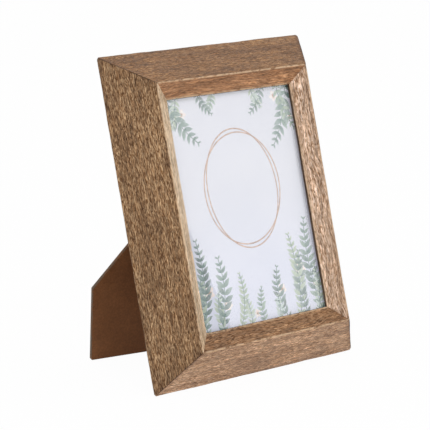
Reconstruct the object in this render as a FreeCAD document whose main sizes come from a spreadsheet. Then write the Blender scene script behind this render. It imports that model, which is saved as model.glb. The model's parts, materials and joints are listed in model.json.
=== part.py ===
import FreeCAD, Part
import math
import os
import re

import Sketcher
from FreeCAD import Placement, Rotation, Vector

# Easel back photo frame, in millimetres and degrees. Every piece is drawn in the upright frame:
# X to the right, Y backwards from the plane of the frame's back, Z up from its bottom edge. The
# whole is then leant back until its bottom edge and the strut's foot stand on the table.

DRIVING = {
    # The picture and the stack behind the lip
    "print_width": 130,
    "print_height": 180,
    "print_thickness": 0.3,
    "print_play": 1,
    "glass_thickness": 2,
    "card_thickness": 2,
    "spacer_width": 6,
    "spacer_play": 0.4,
    # The moulding's section
    "lip_reach": 5,
    "lip_thickness": 2.5,
    "bevel_width": 13,
    "bevel_drop": 8.5,
    "slope_width": 26.8,
    "frame_depth": 33,
    "back_edge_round": 0.8,
    "ridge_round": 1.6,
    "sight_edge_round": 0.6,
    # The back board and its step in the rebate
    "back_land": 27,
    "board_thickness": 3,
    "board_play": 0.5,
    "board_corner_round": 2,
    # The steel angles that pin the mitres
    "nail_inset": 14,
    "nail_leg": 8,
    "nail_thickness": 0.8,
    "nail_depth": 10,
    # The turn buttons and their screws
    "button_length": 20,
    "button_width": 8,
    "button_thickness": 1.2,
    "button_tail": 5.5,
    "button_round": 3.6,
    "button_air": 0.05,
    "button_inset": 19,
    "screw_diameter": 2.8,
    "screw_play": 0.06,
    "screw_length": 13,
    "screw_head_diameter": 5.6,
    "screw_head_height": 1.7,
    "screw_head_bevel": 0.9,
    "screw_slot_width": 0.8,
    "screw_slot_depth": 0.7,
    "upper_button_drop": 56,
    "left_button_rise": 125,
    "right_button_rise": 62,
    "bottom_button_offset": 24,
    # The hinge
    "leaf_margin": 3.3,
    "hinge_tilt": 19.7,
    "stop_angle": 29.3,
    "sheet_thickness": 0.8,
    "pin_diameter": 2,
    "pin_play": 0.05,
    "pin_head_diameter": 3.2,
    "pin_head_length": 0.7,
    "knuckle_lift": 0.4,
    "knuckle_width": 9.6,
    "knuckle_gap": 0.3,
    "leaf_width": 28,
    "leaf_round": 3,
    "board_leaf_reach": 15,
    "strut_leaf_reach": 24,
    "tongue_reach": 7,
    "stop_air": 0.03,
    # The rivets
    "rivet_diameter": 3,
    "rivet_play": 0.05,
    "rivet_spread": 17,
    "rivet_head_diameter": 5.4,
    "rivet_head_height": 1.1,
    "rivet_head_bevel": 0.7,
    "rivet_tail_diameter": 5,
    "rivet_tail_height": 0.8,
    "board_rivet_reach": 9,
    "strut_rivet_reach": 14,
    # The strut and how the frame stands
    "strut_thickness": 3,
    "strut_neck": 38,
    "strut_corner_offset": 9,
    "strut_corner_round": 1.2,
    "portrait_foot": 58,
    "landscape_foot": 61.5,
    "flare_angle": 20.1,
    "lean": 14.75,
    # How far a cutting shape runs past what it cuts
    "overrun": 5,
}

# What follows from those sizes, in the order in which each sum needs the one before it
DERIVED = {
    "rebate_width": "print_width + 2 * print_play",
    "rebate_height": "print_height + 2 * print_play",
    "rail_width": "slope_width + bevel_width",
    "rebate_inset": "rail_width - lip_reach",
    "outer_width": "rebate_width + 2 * rebate_inset",
    "outer_height": "rebate_height + 2 * rebate_inset",
    "sight_depth": "frame_depth - bevel_drop",
    "glass_front": "sight_depth - lip_thickness",
    "print_front": "glass_front - glass_thickness",
    "card_front": "print_front - print_thickness",
    "spacer_front": "card_front - card_thickness",
    "spacer_depth": "spacer_front - board_thickness",
    "board_width": "outer_width - 2 * back_land - 2 * board_play",
    "board_height": "outer_height - 2 * back_land - 2 * board_play",
    "upper_button_height": "outer_height - upper_button_drop",
    "button_top": "button_air + button_thickness",
    "screw_head_seat": "button_top + button_air",
    "screw_head_top": "screw_head_seat + screw_head_height",
    "barrel_radius": "pin_diameter / 2 + pin_play + sheet_thickness",
    "bore_radius": "pin_diameter / 2 + pin_play",
    "hinge_depth": "barrel_radius + knuckle_lift",
    "hinge_height": "(outer_height + board_height) / 2 - leaf_margin"
                    " - board_leaf_reach * cos(hinge_tilt) - leaf_width / 2 * sin(hinge_tilt)",
    "strut_front": "barrel_radius - sheet_thickness - strut_thickness",
    "strut_back": "barrel_radius - sheet_thickness",
    "strut_top": "barrel_radius + knuckle_gap",
    "tongue_root": "(barrel_radius + bore_radius) / 2",
    "tongue_floor": "sheet_thickness + stop_air - hinge_depth",
    "tongue_roof": "tongue_floor + sheet_thickness",
    # The lowest line of the rounded bottom edge, above the sharp edge that the section is drawn to
    "slope_length": "sqrt(slope_width * slope_width + frame_depth * frame_depth)",
    "edge_centre": "back_edge_round * (slope_length + slope_width) / frame_depth",
    "edge_lift": "back_edge_round * sin(lean) + edge_centre * cos(lean) - back_edge_round",
    # How fast the open strut's three directions climb from the table: along the hinge, along the
    # strut's length away from the hinge, and out of its back
    "hinge_climb": "-sin(hinge_tilt) * cos(lean)",
    "strut_climb": "-sin(stop_angle) * sin(lean) - cos(hinge_tilt) * cos(stop_angle) * cos(lean)",
    "back_climb": "cos(hinge_tilt) * sin(stop_angle) * cos(lean) - cos(stop_angle) * sin(lean)",
    "hinge_above_table": "hinge_height * cos(lean) - hinge_depth * sin(lean) - edge_lift",
    "foot_slope": "hinge_climb / strut_climb",
    "corner_reach": "(strut_corner_offset * hinge_climb - hinge_above_table"
                    " - strut_front * back_climb) / strut_climb",
    "foot_stride": "portrait_foot / sqrt(1 + foot_slope * foot_slope)",
    "foot_end": "foot_stride - strut_corner_offset",
    "foot_end_reach": "corner_reach - foot_stride * foot_slope",
    # The landscape foot lies in the table that touches the frame's left edge and the same corner
    "corner_side": "corner_reach * sin(hinge_tilt) * cos(stop_angle)"
                   " + strut_corner_offset * cos(hinge_tilt)"
                   " - strut_front * sin(hinge_tilt) * sin(stop_angle)",
    "corner_depth": "hinge_depth + corner_reach * sin(stop_angle) + strut_front * cos(stop_angle)",
    "side_slope": "(corner_depth * sin(hinge_tilt) * cos(stop_angle)"
                  " + (outer_width / 2 - corner_side) * sin(stop_angle))"
                  " / (corner_depth * cos(hinge_tilt))",
    "side_stride": "landscape_foot / sqrt(1 + side_slope * side_slope)",
    "side_end": "strut_corner_offset + side_stride * side_slope",
    "side_end_reach": "corner_reach - side_stride",
    "left_flare": "side_end_reach - (side_end - strut_neck / 2) / tan(flare_angle)",
    "right_flare": "foot_end_reach - (foot_end - strut_neck / 2) / tan(flare_angle)",
}

ACCURACY_SHARE = 1e-6

doc = FreeCAD.newDocument("EaselBackFrame")


# Sizes

sheet = doc.addObject("Spreadsheet::Sheet", "Sizes")
for row, (name, number) in enumerate(DRIVING.items(), start=1):
    sheet.set(f"A{row}", name)
    sheet.set(f"B{row}", str(number))
    sheet.setAlias(f"B{row}", name)
doc.recompute()

owner = {name: "Sizes." for name in DRIVING}


def bound(text):
    """The same sum with each name pointed at the object that holds it."""
    return re.sub("[a-z_]+", lambda word: owner.get(word.group(), "") + word.group(), text)


layout = doc.addObject("App::VarSet", "Layout")
for name, text in DERIVED.items():
    layout.addProperty("App::PropertyFloat", name, "Layout")
    layout.setExpression(name, bound(text))
    owner[name] = "Layout."
doc.recompute()


def size(name):
    """A size's present value, as a plain number."""
    return float(getattr(sheet if name in DRIVING else layout, name))


# Drawing

parts = []


def origin_plane(body, role):
    """One of the body's own origin planes, such as XZ_Plane."""
    return next(feature for feature in body.Origin.OriginFeatures if feature.Role == role)


def new_body(label, many=False):
    """A sub-part's body, which may hold several solids where the piece is a group."""
    body = doc.addObject("PartDesign::Body", label)
    body.Label = label
    body.AllowCompound = many
    parts.append(body)
    return body


def pin_point(sketch, line, end, across, up):
    """Tie a point of the sketch to its two distances from the origin."""
    for kind, text in (("DistanceX", across), ("DistanceY", up)):
        number = sketch.addConstraint(Sketcher.Constraint(kind, -1, 1, line, end, 1))
        sketch.setExpression(f"Constraints[{number}]", bound(text))


def draw(body, name, role, loops=(), circles=()):
    """A sketch of straight-sided loops and of circles on one of the body's origin planes."""
    sketch = body.newObject("Sketcher::SketchObject", name)
    sketch.AttachmentSupport = [(origin_plane(body, role), "")]
    sketch.MapMode = "FlatFace"
    for corners in loops:
        turn = math.tau / len(corners)
        rough = [Vector(math.cos(turn * k), math.sin(turn * k)) for k in range(len(corners))]
        lines = [sketch.addGeometry(Part.LineSegment(rough[k - 1], rough[k]))
                 for k in range(len(corners))]
        for k, line in enumerate(lines):
            sketch.addConstraint(Sketcher.Constraint("Coincident", lines[k - 1], 2, line, 1))
            pin_point(sketch, line, 1, *corners[k])
    for across, up, radius in circles:
        circle = sketch.addGeometry(Part.Circle())
        pin_point(sketch, circle, 3, across, up)
        number = sketch.addConstraint(Sketcher.Constraint("Radius", circle, 1))
        sketch.setExpression(f"Constraints[{number}]", bound(radius))
    return sketch


def rectangle(left, right, low, high):
    """The corners of an upright rectangle."""
    return [(left, low), (right, low), (right, high), (left, high)]


def extrude(body, kind, name, sketch, length, sides="One side", other="", back=False):
    """A Pad or Pocket whose length, or both lengths, follow the sheet."""
    before = body.Shape.Volume if body.Tip and kind == "Pocket" else None
    feature = body.newObject(f"PartDesign::{kind}", name)
    feature.Profile = sketch
    feature.SideType = sides
    feature.Reversed = back
    feature.setExpression("Length", bound(length))
    if other:
        feature.setExpression("Length2", bound(other))
    doc.recompute()
    if before is not None and not body.Shape.Volume < before:
        raise ValueError(f"{body.Label}: {name} cuts nothing")
    return feature


def near(first, second):
    """Whether two lengths are the same, within the drawing's accuracy."""
    return math.isclose(first, second, abs_tol=size("overrun") * ACCURACY_SHARE)


def edges_where(shape, wanted, along):
    """The names of the edges that run along a direction, or are circles, with their ends wanted."""
    names = []
    for number, edge in enumerate(shape.Edges, start=1):
        ends = [vertex.Point for vertex in edge.Vertexes]
        straight = near((ends[-1] - ends[0]).cross(along).Length, 0.0)
        if straight and all(wanted(end) for end in ends):
            names.append(f"Edge{number}")
    return names


def soften(body, name, wanted, amount, along=Vector(0, 1, 0), kind="Fillet"):
    """A fillet or chamfer on the edges of the body's tip that satisfy a test."""
    base = body.Tip
    feature = body.newObject(f"PartDesign::{kind}", name)
    feature.Base = (base, edges_where(base.Shape, wanted, along))
    feature.setExpression("Radius" if kind == "Fillet" else "Size", bound(amount))
    doc.recompute()


def put(piece, across=0.0, depth=0.0, height=0.0, turn=None):
    """Set a piece in the upright frame."""
    piece.Placement = Placement(Vector(across, depth, height), turn or Rotation())


# The four mitred rails. Each is drawn along X with its outer edge on Z zero.

SECTION = [
    ("0", "0"),
    ("-frame_depth", "slope_width"),
    ("-sight_depth", "rail_width"),
    ("-glass_front", "rail_width"),
    ("-glass_front", "rebate_inset"),
    ("-board_thickness", "rebate_inset"),
    ("-board_thickness", "back_land"),
    ("0", "back_land"),
]


def corner_angle(end, side):
    """The steel angle's outline at one end of a rail: side is + or - the way into the rail."""
    def across(text):
        return f"{end} {side} ({text})"
    inset, reach = "nail_inset", "nail_inset + nail_leg"
    inner = "nail_inset + nail_thickness"
    return [
        (across(inset), inset),
        (across(reach), inset),
        (across(reach), inner),
        (across(inner), inner),
        (across(inner), reach),
        (across(inset), reach),
    ]


def mitre_waste(end, side):
    """The triangle beyond one mitre of a rail."""
    tip = f"{end} {side} (rail_width + overrun)"
    outside = f"{end} {side} (-overrun)"
    return [(outside, "-overrun"), (tip, "rail_width + overrun"), (outside, "rail_width + overrun")]


def make_rail(label, length, screws, across, height, turn):
    """One rail: moulded section, rounded edges, mitred ends, kerfs and pilot holes."""
    body = new_body(label)
    profile = draw(body, f"{label}_section", "YZ_Plane", [SECTION])
    extrude(body, "Pad", f"{label}_moulding", profile, length, "Symmetric")
    edges = (("back_edge", "0", "0", "back_edge_round"),
             ("ridge", "frame_depth", "slope_width", "ridge_round"),
             ("sight_edge", "sight_depth", "rail_width", "sight_edge_round"))
    for name, depth, inset, radius in edges:
        y = -size(depth) if depth in owner else float(depth)
        z = size(inset) if inset in owner else float(inset)
        soften(body, f"{label}_{name}", lambda p: near(p.y, y) and near(p.z, z), radius,
               Vector(1, 0, 0))
    ends = ((f"-{length} / 2", "+"), (f"{length} / 2", "-"))
    waste = draw(body, f"{label}_waste", "XZ_Plane", [mitre_waste(*end) for end in ends])
    extrude(body, "Pocket", f"{label}_mitres", waste, "2 * frame_depth + overrun", "Symmetric")
    kerfs = draw(body, f"{label}_kerf_lines", "XZ_Plane", [corner_angle(*end) for end in ends])
    extrude(body, "Pocket", f"{label}_kerfs", kerfs, "nail_depth", back=True)
    if screws:
        holes = draw(body, f"{label}_pilot_marks", "XZ_Plane",
                     circles=[(place, "button_inset", "screw_diameter / 2") for place in screws])
        extrude(body, "Pocket", f"{label}_pilots", holes, "screw_length", back=True)
    put(body, across, 0.0, height, Rotation(Vector(0, 1, 0), turn))
    return body


half_width = size("outer_width") / 2
half_height = size("outer_height") / 2
full_height = size("outer_height")

upper_place = "upper_button_height - outer_height / 2"
left_place = "left_button_rise - outer_height / 2"
right_place = "right_button_rise - outer_height / 2"
quarter, half_turn = 90, 180
make_rail("bottom_rail", "outer_width", ["bottom_button_offset"], 0.0, 0.0, 0)
make_rail("right_stile", "outer_height", [upper_place, right_place], half_width, half_height, -quarter)
make_rail("top_rail", "outer_width", [], 0.0, full_height, half_turn)
make_rail("left_stile", "outer_height", [f"-({upper_place})", f"-({left_place})"],
          -half_width, half_height, quarter)


# The steel angles that pin the mitres

def frame_corner(side, top):
    """A corner angle's outline in the whole frame."""
    outline = corner_angle(f"{side}outer_width / 2", "-" if side == "" else "+")
    if top:
        return [(across, f"outer_height - ({up})") for across, up in outline]
    return outline


nails = new_body("corner_nails", many=True)
nail_lines = draw(nails, "nail_lines", "XZ_Plane",
                  [frame_corner(side, top) for side in ("-", "") for top in (False, True)])
extrude(nails, "Pad", "nail_strips", nail_lines, "nail_depth")


# The stack in the rebate

def make_sheet(label, wide, thick, high, front, centre_height, centre_across=0.0):
    """A flat rectangular piece, centred across and in height, with its front at a given depth."""
    box = doc.addObject("Part::Box", label)
    box.Label = label
    box.setExpression("Length", bound(wide))
    box.setExpression("Width", bound(thick))
    box.setExpression("Height", bound(high))
    doc.recompute()
    put(box, centre_across - box.Length.Value / 2, -size(front), centre_height - box.Height.Value / 2)
    parts.append(box)
    return box


make_sheet("glass_pane", "print_width", "glass_thickness", "print_height", "glass_front", half_height)
make_sheet("photo_print", "print_width", "print_thickness", "print_height", "print_front", half_height)
make_sheet("backing_card", "print_width", "card_thickness", "print_height", "card_front", half_height)

spacer_up = (size("rebate_height") - size("spacer_width") - size("spacer_play")) / 2
spacer_out = (size("rebate_width") - size("spacer_width") - size("spacer_play")) / 2
for label, side in (("spacer_bottom", -1), ("spacer_top", 1)):
    make_sheet(label, "rebate_width - spacer_play", "spacer_depth", "spacer_width", "spacer_front",
               half_height + side * spacer_up)
for label, side in (("spacer_left", -1), ("spacer_right", 1)):
    make_sheet(label, "spacer_width", "spacer_depth",
               "rebate_height - 2 * spacer_width - 2 * spacer_play", "spacer_front",
               half_height, side * spacer_out)


# The turn buttons and their screws

BUTTONS = {
    "turn_button_bottom": ("bottom_button_offset", "button_inset", 0),
    "turn_button_right_lower": ("outer_width / 2 - button_inset", "right_button_rise", -quarter),
    "turn_button_right_upper": ("outer_width / 2 - button_inset", "upper_button_height", -quarter),
    "turn_button_left_upper": ("button_inset - outer_width / 2", "upper_button_height", quarter),
    "turn_button_left_lower": ("button_inset - outer_width / 2", "left_button_rise", quarter),
}

screws = new_body("turn_button_screws", many=True)


def screw_circles(radius):
    """The same circle at every screw."""
    return [(across, up, radius) for across, up, turn in BUTTONS.values()]


shanks = draw(screws, "shank_circles", "XZ_Plane", circles=screw_circles("screw_diameter / 2"))
extrude(screws, "Pad", "shanks", shanks, "screw_length", "Two sides", "screw_head_top")
head_blanks = draw(screws, "head_circles", "XZ_Plane",
                   circles=screw_circles("screw_head_diameter / 2"))
head_blanks.setExpression(".AttachmentOffset.Base.z", bound("-screw_head_seat"))
extrude(screws, "Pad", "heads", head_blanks, "screw_head_height", back=True)
soften(screws, "head_bevels", lambda p: near(p.y, size("screw_head_top")), "screw_head_bevel",
       kind="Chamfer")
slots = draw(screws, "slot_lines", "XZ_Plane",
             [rectangle(f"{across} - screw_head_diameter", f"{across} + screw_head_diameter",
                        f"{up} - screw_slot_width / 2", f"{up} + screw_slot_width / 2")
              for across, up, turn in BUTTONS.values()])
slots.setExpression(".AttachmentOffset.Base.z", bound("-screw_head_top"))
extrude(screws, "Pocket", "slots", slots, "screw_slot_depth", back=True)
put(screws)


def make_button(label, across, up, turn):
    """A flat steel button with full ends, drawn about its screw with its arm pointing up."""
    body = new_body(label)
    plan = draw(body, f"{label}_plan", "XZ_Plane",
                [rectangle("-button_width / 2", "button_width / 2",
                           "-button_tail", "button_length - button_tail")],
                [("0", "0", "screw_diameter / 2 + screw_play")])
    plan.setExpression(".AttachmentOffset.Base.z", bound("-button_top"))
    extrude(body, "Pad", f"{label}_plate", plan, "button_thickness")
    corners = size("button_width") / 2
    soften(body, f"{label}_ends", lambda p: near(abs(p.x), corners), "button_round")
    put(body, across, 0.0, up, Rotation(Vector(0, 1, 0), turn))


place_marks = doc.addObject("App::VarSet", "ButtonPlaces")
for label, (across, up, turn) in BUTTONS.items():
    for name, text in (("across", across), ("up", up)):
        place_marks.addProperty("App::PropertyFloat", f"{label}_{name}", "Places")
        place_marks.setExpression(f"{label}_{name}", bound(text))
doc.recompute()
for label, (across, up, turn) in BUTTONS.items():
    make_button(label, getattr(place_marks, f"{label}_across"),
                getattr(place_marks, f"{label}_up"), turn)


# The hinge. Its pieces are drawn about the pin: X along it, Y backwards, Z up the board.

hinge_point = Vector(0, size("hinge_depth"), size("hinge_height"))
hinge_turn = Rotation(Vector(0, 1, 0), size("hinge_tilt"))
strut_turn = hinge_turn.multiply(Rotation(Vector(1, 0, 0), size("stop_angle")))


def put_on_hinge(piece, turn):
    """Set a piece on the hinge's pin, turned with the board or with the open strut."""
    put(piece, *hinge_point, turn)


def rivet_circles(up, radius):
    """The two rivets of a leaf."""
    return [(f"{side}rivet_spread / 2", up, radius) for side in ("-", "")]


hole = "rivet_diameter / 2 + rivet_play"
sink = "rivet_tail_diameter / 2 + rivet_play"
board_row = "board_rivet_reach"
strut_row = "-strut_rivet_reach"

board_leaf = new_body("hinge_board_leaf")
plate = draw(board_leaf, "board_plate_section", "YZ_Plane",
             [rectangle("-hinge_depth", "sheet_thickness - hinge_depth", "0", "board_leaf_reach")])
extrude(board_leaf, "Pad", "board_plate", plate, "leaf_width", "Symmetric")
soften(board_leaf, "board_plate_corners",
       lambda p: near(p.z, size("board_leaf_reach")) and near(abs(p.x), size("leaf_width") / 2),
       "leaf_round")
barrel = draw(board_leaf, "board_barrel_section", "YZ_Plane", circles=[("0", "0", "barrel_radius")])
extrude(board_leaf, "Pad", "board_barrel", barrel, "leaf_width", "Symmetric")
notch_side = "knuckle_width / 2 + knuckle_gap"
notch = draw(board_leaf, "knuckle_notch_lines", "XZ_Plane",
             [rectangle(f"-({notch_side})", notch_side, "-barrel_radius - overrun", "strut_top")])
extrude(board_leaf, "Pocket", "knuckle_notch", notch, "2 * hinge_depth + overrun", "Symmetric")
bore = draw(board_leaf, "board_bore_section", "YZ_Plane", circles=[("0", "0", "bore_radius")])
extrude(board_leaf, "Pocket", "board_bore", bore, "leaf_width + overrun", "Symmetric")
marks = draw(board_leaf, "board_leaf_holes", "XZ_Plane", circles=rivet_circles(board_row, hole))
extrude(board_leaf, "Pocket", "board_leaf_drilling", marks, "2 * hinge_depth + overrun", "Symmetric")
put_on_hinge(board_leaf, hinge_turn)


def turned(depth, up):
    """A point beside the board, as the strut's own drawing has it while the strut stands open."""
    return (f"({depth}) * cos(stop_angle) + ({up}) * sin(stop_angle)",
            f"({up}) * cos(stop_angle) - ({depth}) * sin(stop_angle)")


strut_leaf = new_body("hinge_strut_leaf")
plate = draw(strut_leaf, "strut_plate_section", "YZ_Plane",
             [rectangle("strut_back", "barrel_radius", "-strut_leaf_reach", "0")])
extrude(strut_leaf, "Pad", "strut_plate", plate, "leaf_width", "Symmetric")
soften(strut_leaf, "strut_plate_corners",
       lambda p: near(p.z, -size("strut_leaf_reach")) and near(abs(p.x), size("leaf_width") / 2),
       "leaf_round")
cheeks = draw(strut_leaf, "cheek_lines", "XZ_Plane",
              [rectangle("knuckle_width / 2", "leaf_width / 2 + overrun", "-strut_top", "overrun"),
               rectangle("-leaf_width / 2 - overrun", "-knuckle_width / 2", "-strut_top", "overrun")])
extrude(strut_leaf, "Pocket", "cheeks", cheeks, "2 * hinge_depth + overrun", "Symmetric")
barrel = draw(strut_leaf, "strut_barrel_section", "YZ_Plane", circles=[("0", "0", "barrel_radius")])
extrude(strut_leaf, "Pad", "strut_barrel", barrel, "knuckle_width", "Symmetric")
tongue = draw(strut_leaf, "tongue_section", "YZ_Plane",
              [[turned("tongue_floor", "tongue_root"), turned("tongue_roof", "tongue_root"),
                turned("tongue_roof", "tongue_reach"), turned("tongue_floor", "tongue_reach")]])
extrude(strut_leaf, "Pad", "stop_tongue", tongue, "knuckle_width", "Symmetric")
bore = draw(strut_leaf, "strut_bore_section", "YZ_Plane", circles=[("0", "0", "bore_radius")])
extrude(strut_leaf, "Pocket", "strut_bore", bore, "leaf_width + overrun", "Symmetric")
marks = draw(strut_leaf, "strut_leaf_holes", "XZ_Plane", circles=rivet_circles(strut_row, hole))
extrude(strut_leaf, "Pocket", "strut_leaf_drilling", marks, "2 * hinge_depth + overrun", "Symmetric")
put_on_hinge(strut_leaf, strut_turn)

pin = new_body("hinge_pin")
pin_end = "leaf_width / 2 + pin_play"
pin_profile = draw(pin, "pin_profile", "XY_Plane", [[
    (f"-({pin_end}) - pin_head_length", "0"),
    (f"-({pin_end}) - pin_head_length", "pin_head_diameter / 2"),
    (f"-({pin_end})", "pin_head_diameter / 2"),
    (f"-({pin_end})", "pin_diameter / 2"),
    (pin_end, "pin_diameter / 2"),
    (pin_end, "pin_head_diameter / 2"),
    (f"{pin_end} + pin_head_length", "pin_head_diameter / 2"),
    (f"{pin_end} + pin_head_length", "0"),
]])
pin_turning = pin.newObject("PartDesign::Revolution", "pin_turning")
pin_turning.Profile = pin_profile
pin_turning.ReferenceAxis = (pin_profile, ["H_Axis"])
doc.recompute()
put_on_hinge(pin, hinge_turn)


# The back board and the strut, with the rivets that carry the hinge

def on_board(along, up):
    """A point given along and above the tilted hinge, on the upright back board."""
    return (f"({along}) * cos(hinge_tilt) + ({up}) * sin(hinge_tilt)",
            f"hinge_height - ({along}) * sin(hinge_tilt) + ({up}) * cos(hinge_tilt)")


board = new_body("back_board")
board_plan = draw(board, "board_plan", "XZ_Plane",
                  [rectangle("-board_width / 2", "board_width / 2",
                             "(outer_height - board_height) / 2",
                             "(outer_height + board_height) / 2")],
                  [(*on_board(along, up), radius)
                   for along, up, radius in rivet_circles(board_row, hole)])
extrude(board, "Pad", "board_sheet", board_plan, "board_thickness")
soften(board, "board_corners", lambda p: near(abs(p.x), size("board_width") / 2),
       "board_corner_round")
sinks = draw(board, "board_sink_lines", "XZ_Plane",
             circles=[(*on_board(along, up), radius)
                      for along, up, radius in rivet_circles(board_row, sink)])
sinks.setExpression(".AttachmentOffset.Base.z", bound("board_thickness"))
extrude(board, "Pocket", "board_sinks", sinks, "rivet_tail_height")
put(board)

strut = new_body("easel_strut")
strut_plan = draw(strut, "strut_plan", "XZ_Plane",
                  [[("-strut_neck / 2", "-strut_top"),
                    ("-strut_neck / 2", "-left_flare"),
                    ("-side_end", "-side_end_reach"),
                    ("-strut_corner_offset", "-corner_reach"),
                    ("foot_end", "-foot_end_reach"),
                    ("strut_neck / 2", "-right_flare"),
                    ("strut_neck / 2", "-strut_top")]],
                  rivet_circles(strut_row, hole))
extrude(strut, "Pad", "strut_sheet", strut_plan, "-strut_front", "Two sides", "strut_back")
soften(strut, "strut_corners", lambda p: p.z < -size("side_end_reach") + size("strut_corner_round"),
       "strut_corner_round")
sinks = draw(strut, "strut_sink_lines", "XZ_Plane", circles=rivet_circles(strut_row, sink))
sinks.setExpression(".AttachmentOffset.Base.z", bound("-strut_front"))
extrude(strut, "Pocket", "strut_sinks", sinks, "rivet_tail_height")
put_on_hinge(strut, strut_turn)


def make_rivets(label, row, seat, grip, turn):
    """Two rivets: a bevelled head on a leaf's back at the seat, a shank, and a tail sunk flush."""
    body = new_body(label, many=True)
    shank = draw(body, f"{label}_shanks", "XZ_Plane", circles=rivet_circles(row, "rivet_diameter / 2"))
    shank.setExpression(".AttachmentOffset.Base.z", bound(f"-({seat})"))
    extrude(body, "Pad", f"{label}_shank", shank, grip)
    head = draw(body, f"{label}_heads", "XZ_Plane",
                circles=rivet_circles(row, "rivet_head_diameter / 2"))
    head.setExpression(".AttachmentOffset.Base.z", bound(f"-({seat})"))
    extrude(body, "Pad", f"{label}_head", head, "rivet_head_height", back=True)
    head_top = body.Tip.Shape.BoundBox.YMax
    soften(body, f"{label}_bevels", lambda p: near(p.y, head_top), "rivet_head_bevel",
           kind="Chamfer")
    tail = draw(body, f"{label}_tails", "XZ_Plane",
                circles=rivet_circles(row, "rivet_tail_diameter / 2"))
    tail.setExpression(".AttachmentOffset.Base.z", bound(f"({grip}) - ({seat})"))
    extrude(body, "Pad", f"{label}_tail", tail, "rivet_tail_height", back=True)
    put_on_hinge(body, turn)


make_rivets("hinge_board_rivets", board_row, "sheet_thickness - hinge_depth",
            "sheet_thickness + board_thickness", hinge_turn)
make_rivets("hinge_strut_rivets", strut_row, "barrel_radius",
            "sheet_thickness + strut_thickness", strut_turn)


# Stand the frame up: lean it back, then put the middle of its footprint on the origin

doc.recompute()
lean_back = Placement(Vector(), Rotation(Vector(1, 0, 0), -size("lean")))
for piece in parts:
    piece.Placement = lean_back.multiply(piece.Placement)
doc.recompute()
reach = FreeCAD.BoundBox()
for piece in parts:
    reach.add(piece.Shape.optimalBoundingBox(False))
to_origin = Placement(Vector(-reach.Center.x, -reach.Center.y, -reach.ZMin), Rotation())
for piece in parts:
    piece.Placement = to_origin.multiply(piece.Placement)
stand = to_origin.multiply(lean_back)
doc.recompute()


# Check and write every piece

failed = [item.Label for item in doc.Objects if {"Invalid", "Error"} & set(item.State)]
if failed:
    raise ValueError(f"failed objects: {failed}")
for piece in parts:
    if piece.Shape.isNull() or not piece.Shape.isValid():
        raise ValueError(f"{piece.Label} has no valid shape")

os.makedirs("parts", exist_ok=True)
for piece in parts:
    piece.Shape.exportStep(f"parts/{piece.Label}.step")
print(f"{len(parts)} pieces, {reach.XLength:.1f} x {reach.YLength:.1f} x {reach.ZLength:.1f} mm")
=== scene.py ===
import json
import math

import bmesh
import bpy
from mathutils import Matrix, Vector


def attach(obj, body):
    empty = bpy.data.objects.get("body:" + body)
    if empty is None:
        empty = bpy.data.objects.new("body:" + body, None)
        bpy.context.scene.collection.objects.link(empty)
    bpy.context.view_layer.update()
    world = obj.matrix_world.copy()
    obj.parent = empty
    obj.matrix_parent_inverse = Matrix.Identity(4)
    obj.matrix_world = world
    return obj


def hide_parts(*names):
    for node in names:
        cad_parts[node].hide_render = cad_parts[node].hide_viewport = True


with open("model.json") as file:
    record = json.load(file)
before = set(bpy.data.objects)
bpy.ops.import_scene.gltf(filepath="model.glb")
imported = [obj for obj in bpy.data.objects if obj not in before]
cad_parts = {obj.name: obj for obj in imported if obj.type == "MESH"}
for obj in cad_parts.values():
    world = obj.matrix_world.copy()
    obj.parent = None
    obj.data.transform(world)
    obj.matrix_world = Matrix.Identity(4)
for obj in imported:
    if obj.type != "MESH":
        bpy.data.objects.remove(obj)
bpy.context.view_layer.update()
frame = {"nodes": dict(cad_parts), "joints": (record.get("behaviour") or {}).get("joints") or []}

# Easel back photo frame. Sizes are in millimetres and degrees, as the part has them, and are
# brought to metres where a mesh gets its place. Each piece is drawn upright in the frame's own
# axes: X to the right, Y backwards from the plane of its back, Z up from its bottom edge. The
# pieces of the hinge and the strut are drawn about the pin, and a rail along its outer edge.

MM = 0.001

PRINT_WIDTH = 130.0
PRINT_HEIGHT = 180.0
PRINT_THICKNESS = 0.3
PRINT_PLAY = 1.0
GLASS_THICKNESS = 2.0

FRAME_DEPTH = 33.0
SLOPE_WIDTH = 26.8
BEVEL_WIDTH = 13.0
BEVEL_DEPTH = 8.5
LIP_THICKNESS = 2.5
LIP_WIDTH = 5.0
BACK_LAND = 27.0
RAIL_WIDTH = SLOPE_WIDTH + BEVEL_WIDTH
REBATE_INSET = RAIL_WIDTH - LIP_WIDTH
OUTER_WIDTH = PRINT_WIDTH + 2 * (PRINT_PLAY + REBATE_INSET)
OUTER_HEIGHT = PRINT_HEIGHT + 2 * (PRINT_PLAY + REBATE_INSET)
SIGHT_DEPTH = FRAME_DEPTH - BEVEL_DEPTH
LIP_BACK = SIGHT_DEPTH - LIP_THICKNESS
PRINT_FRONT = LIP_BACK - GLASS_THICKNESS
PRINT_BACK = PRINT_FRONT - PRINT_THICKNESS

BOARD_THICKNESS = 3.0
BOARD_PLAY = 0.5
BOARD_WIDTH = OUTER_WIDTH - 2 * (BACK_LAND + BOARD_PLAY)
BOARD_HEIGHT = OUTER_HEIGHT - 2 * (BACK_LAND + BOARD_PLAY)
BOARD_CORNER = 2.0

# The knuckles have a bore and a barrel, both radii, and their lift keeps them off the board
SHEET = 0.8
BORE = 1.05
BARREL = BORE + SHEET
KNUCKLE_LIFT = 0.4
HINGE_DEPTH = BARREL + KNUCKLE_LIFT
HINGE_TILT = 19.7
LEAN = 14.75
LEAF_HALF_WIDTH = 14.0
LEAF_MARGIN = 3.3
BOARD_LEAF_REACH = 15.0
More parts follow.
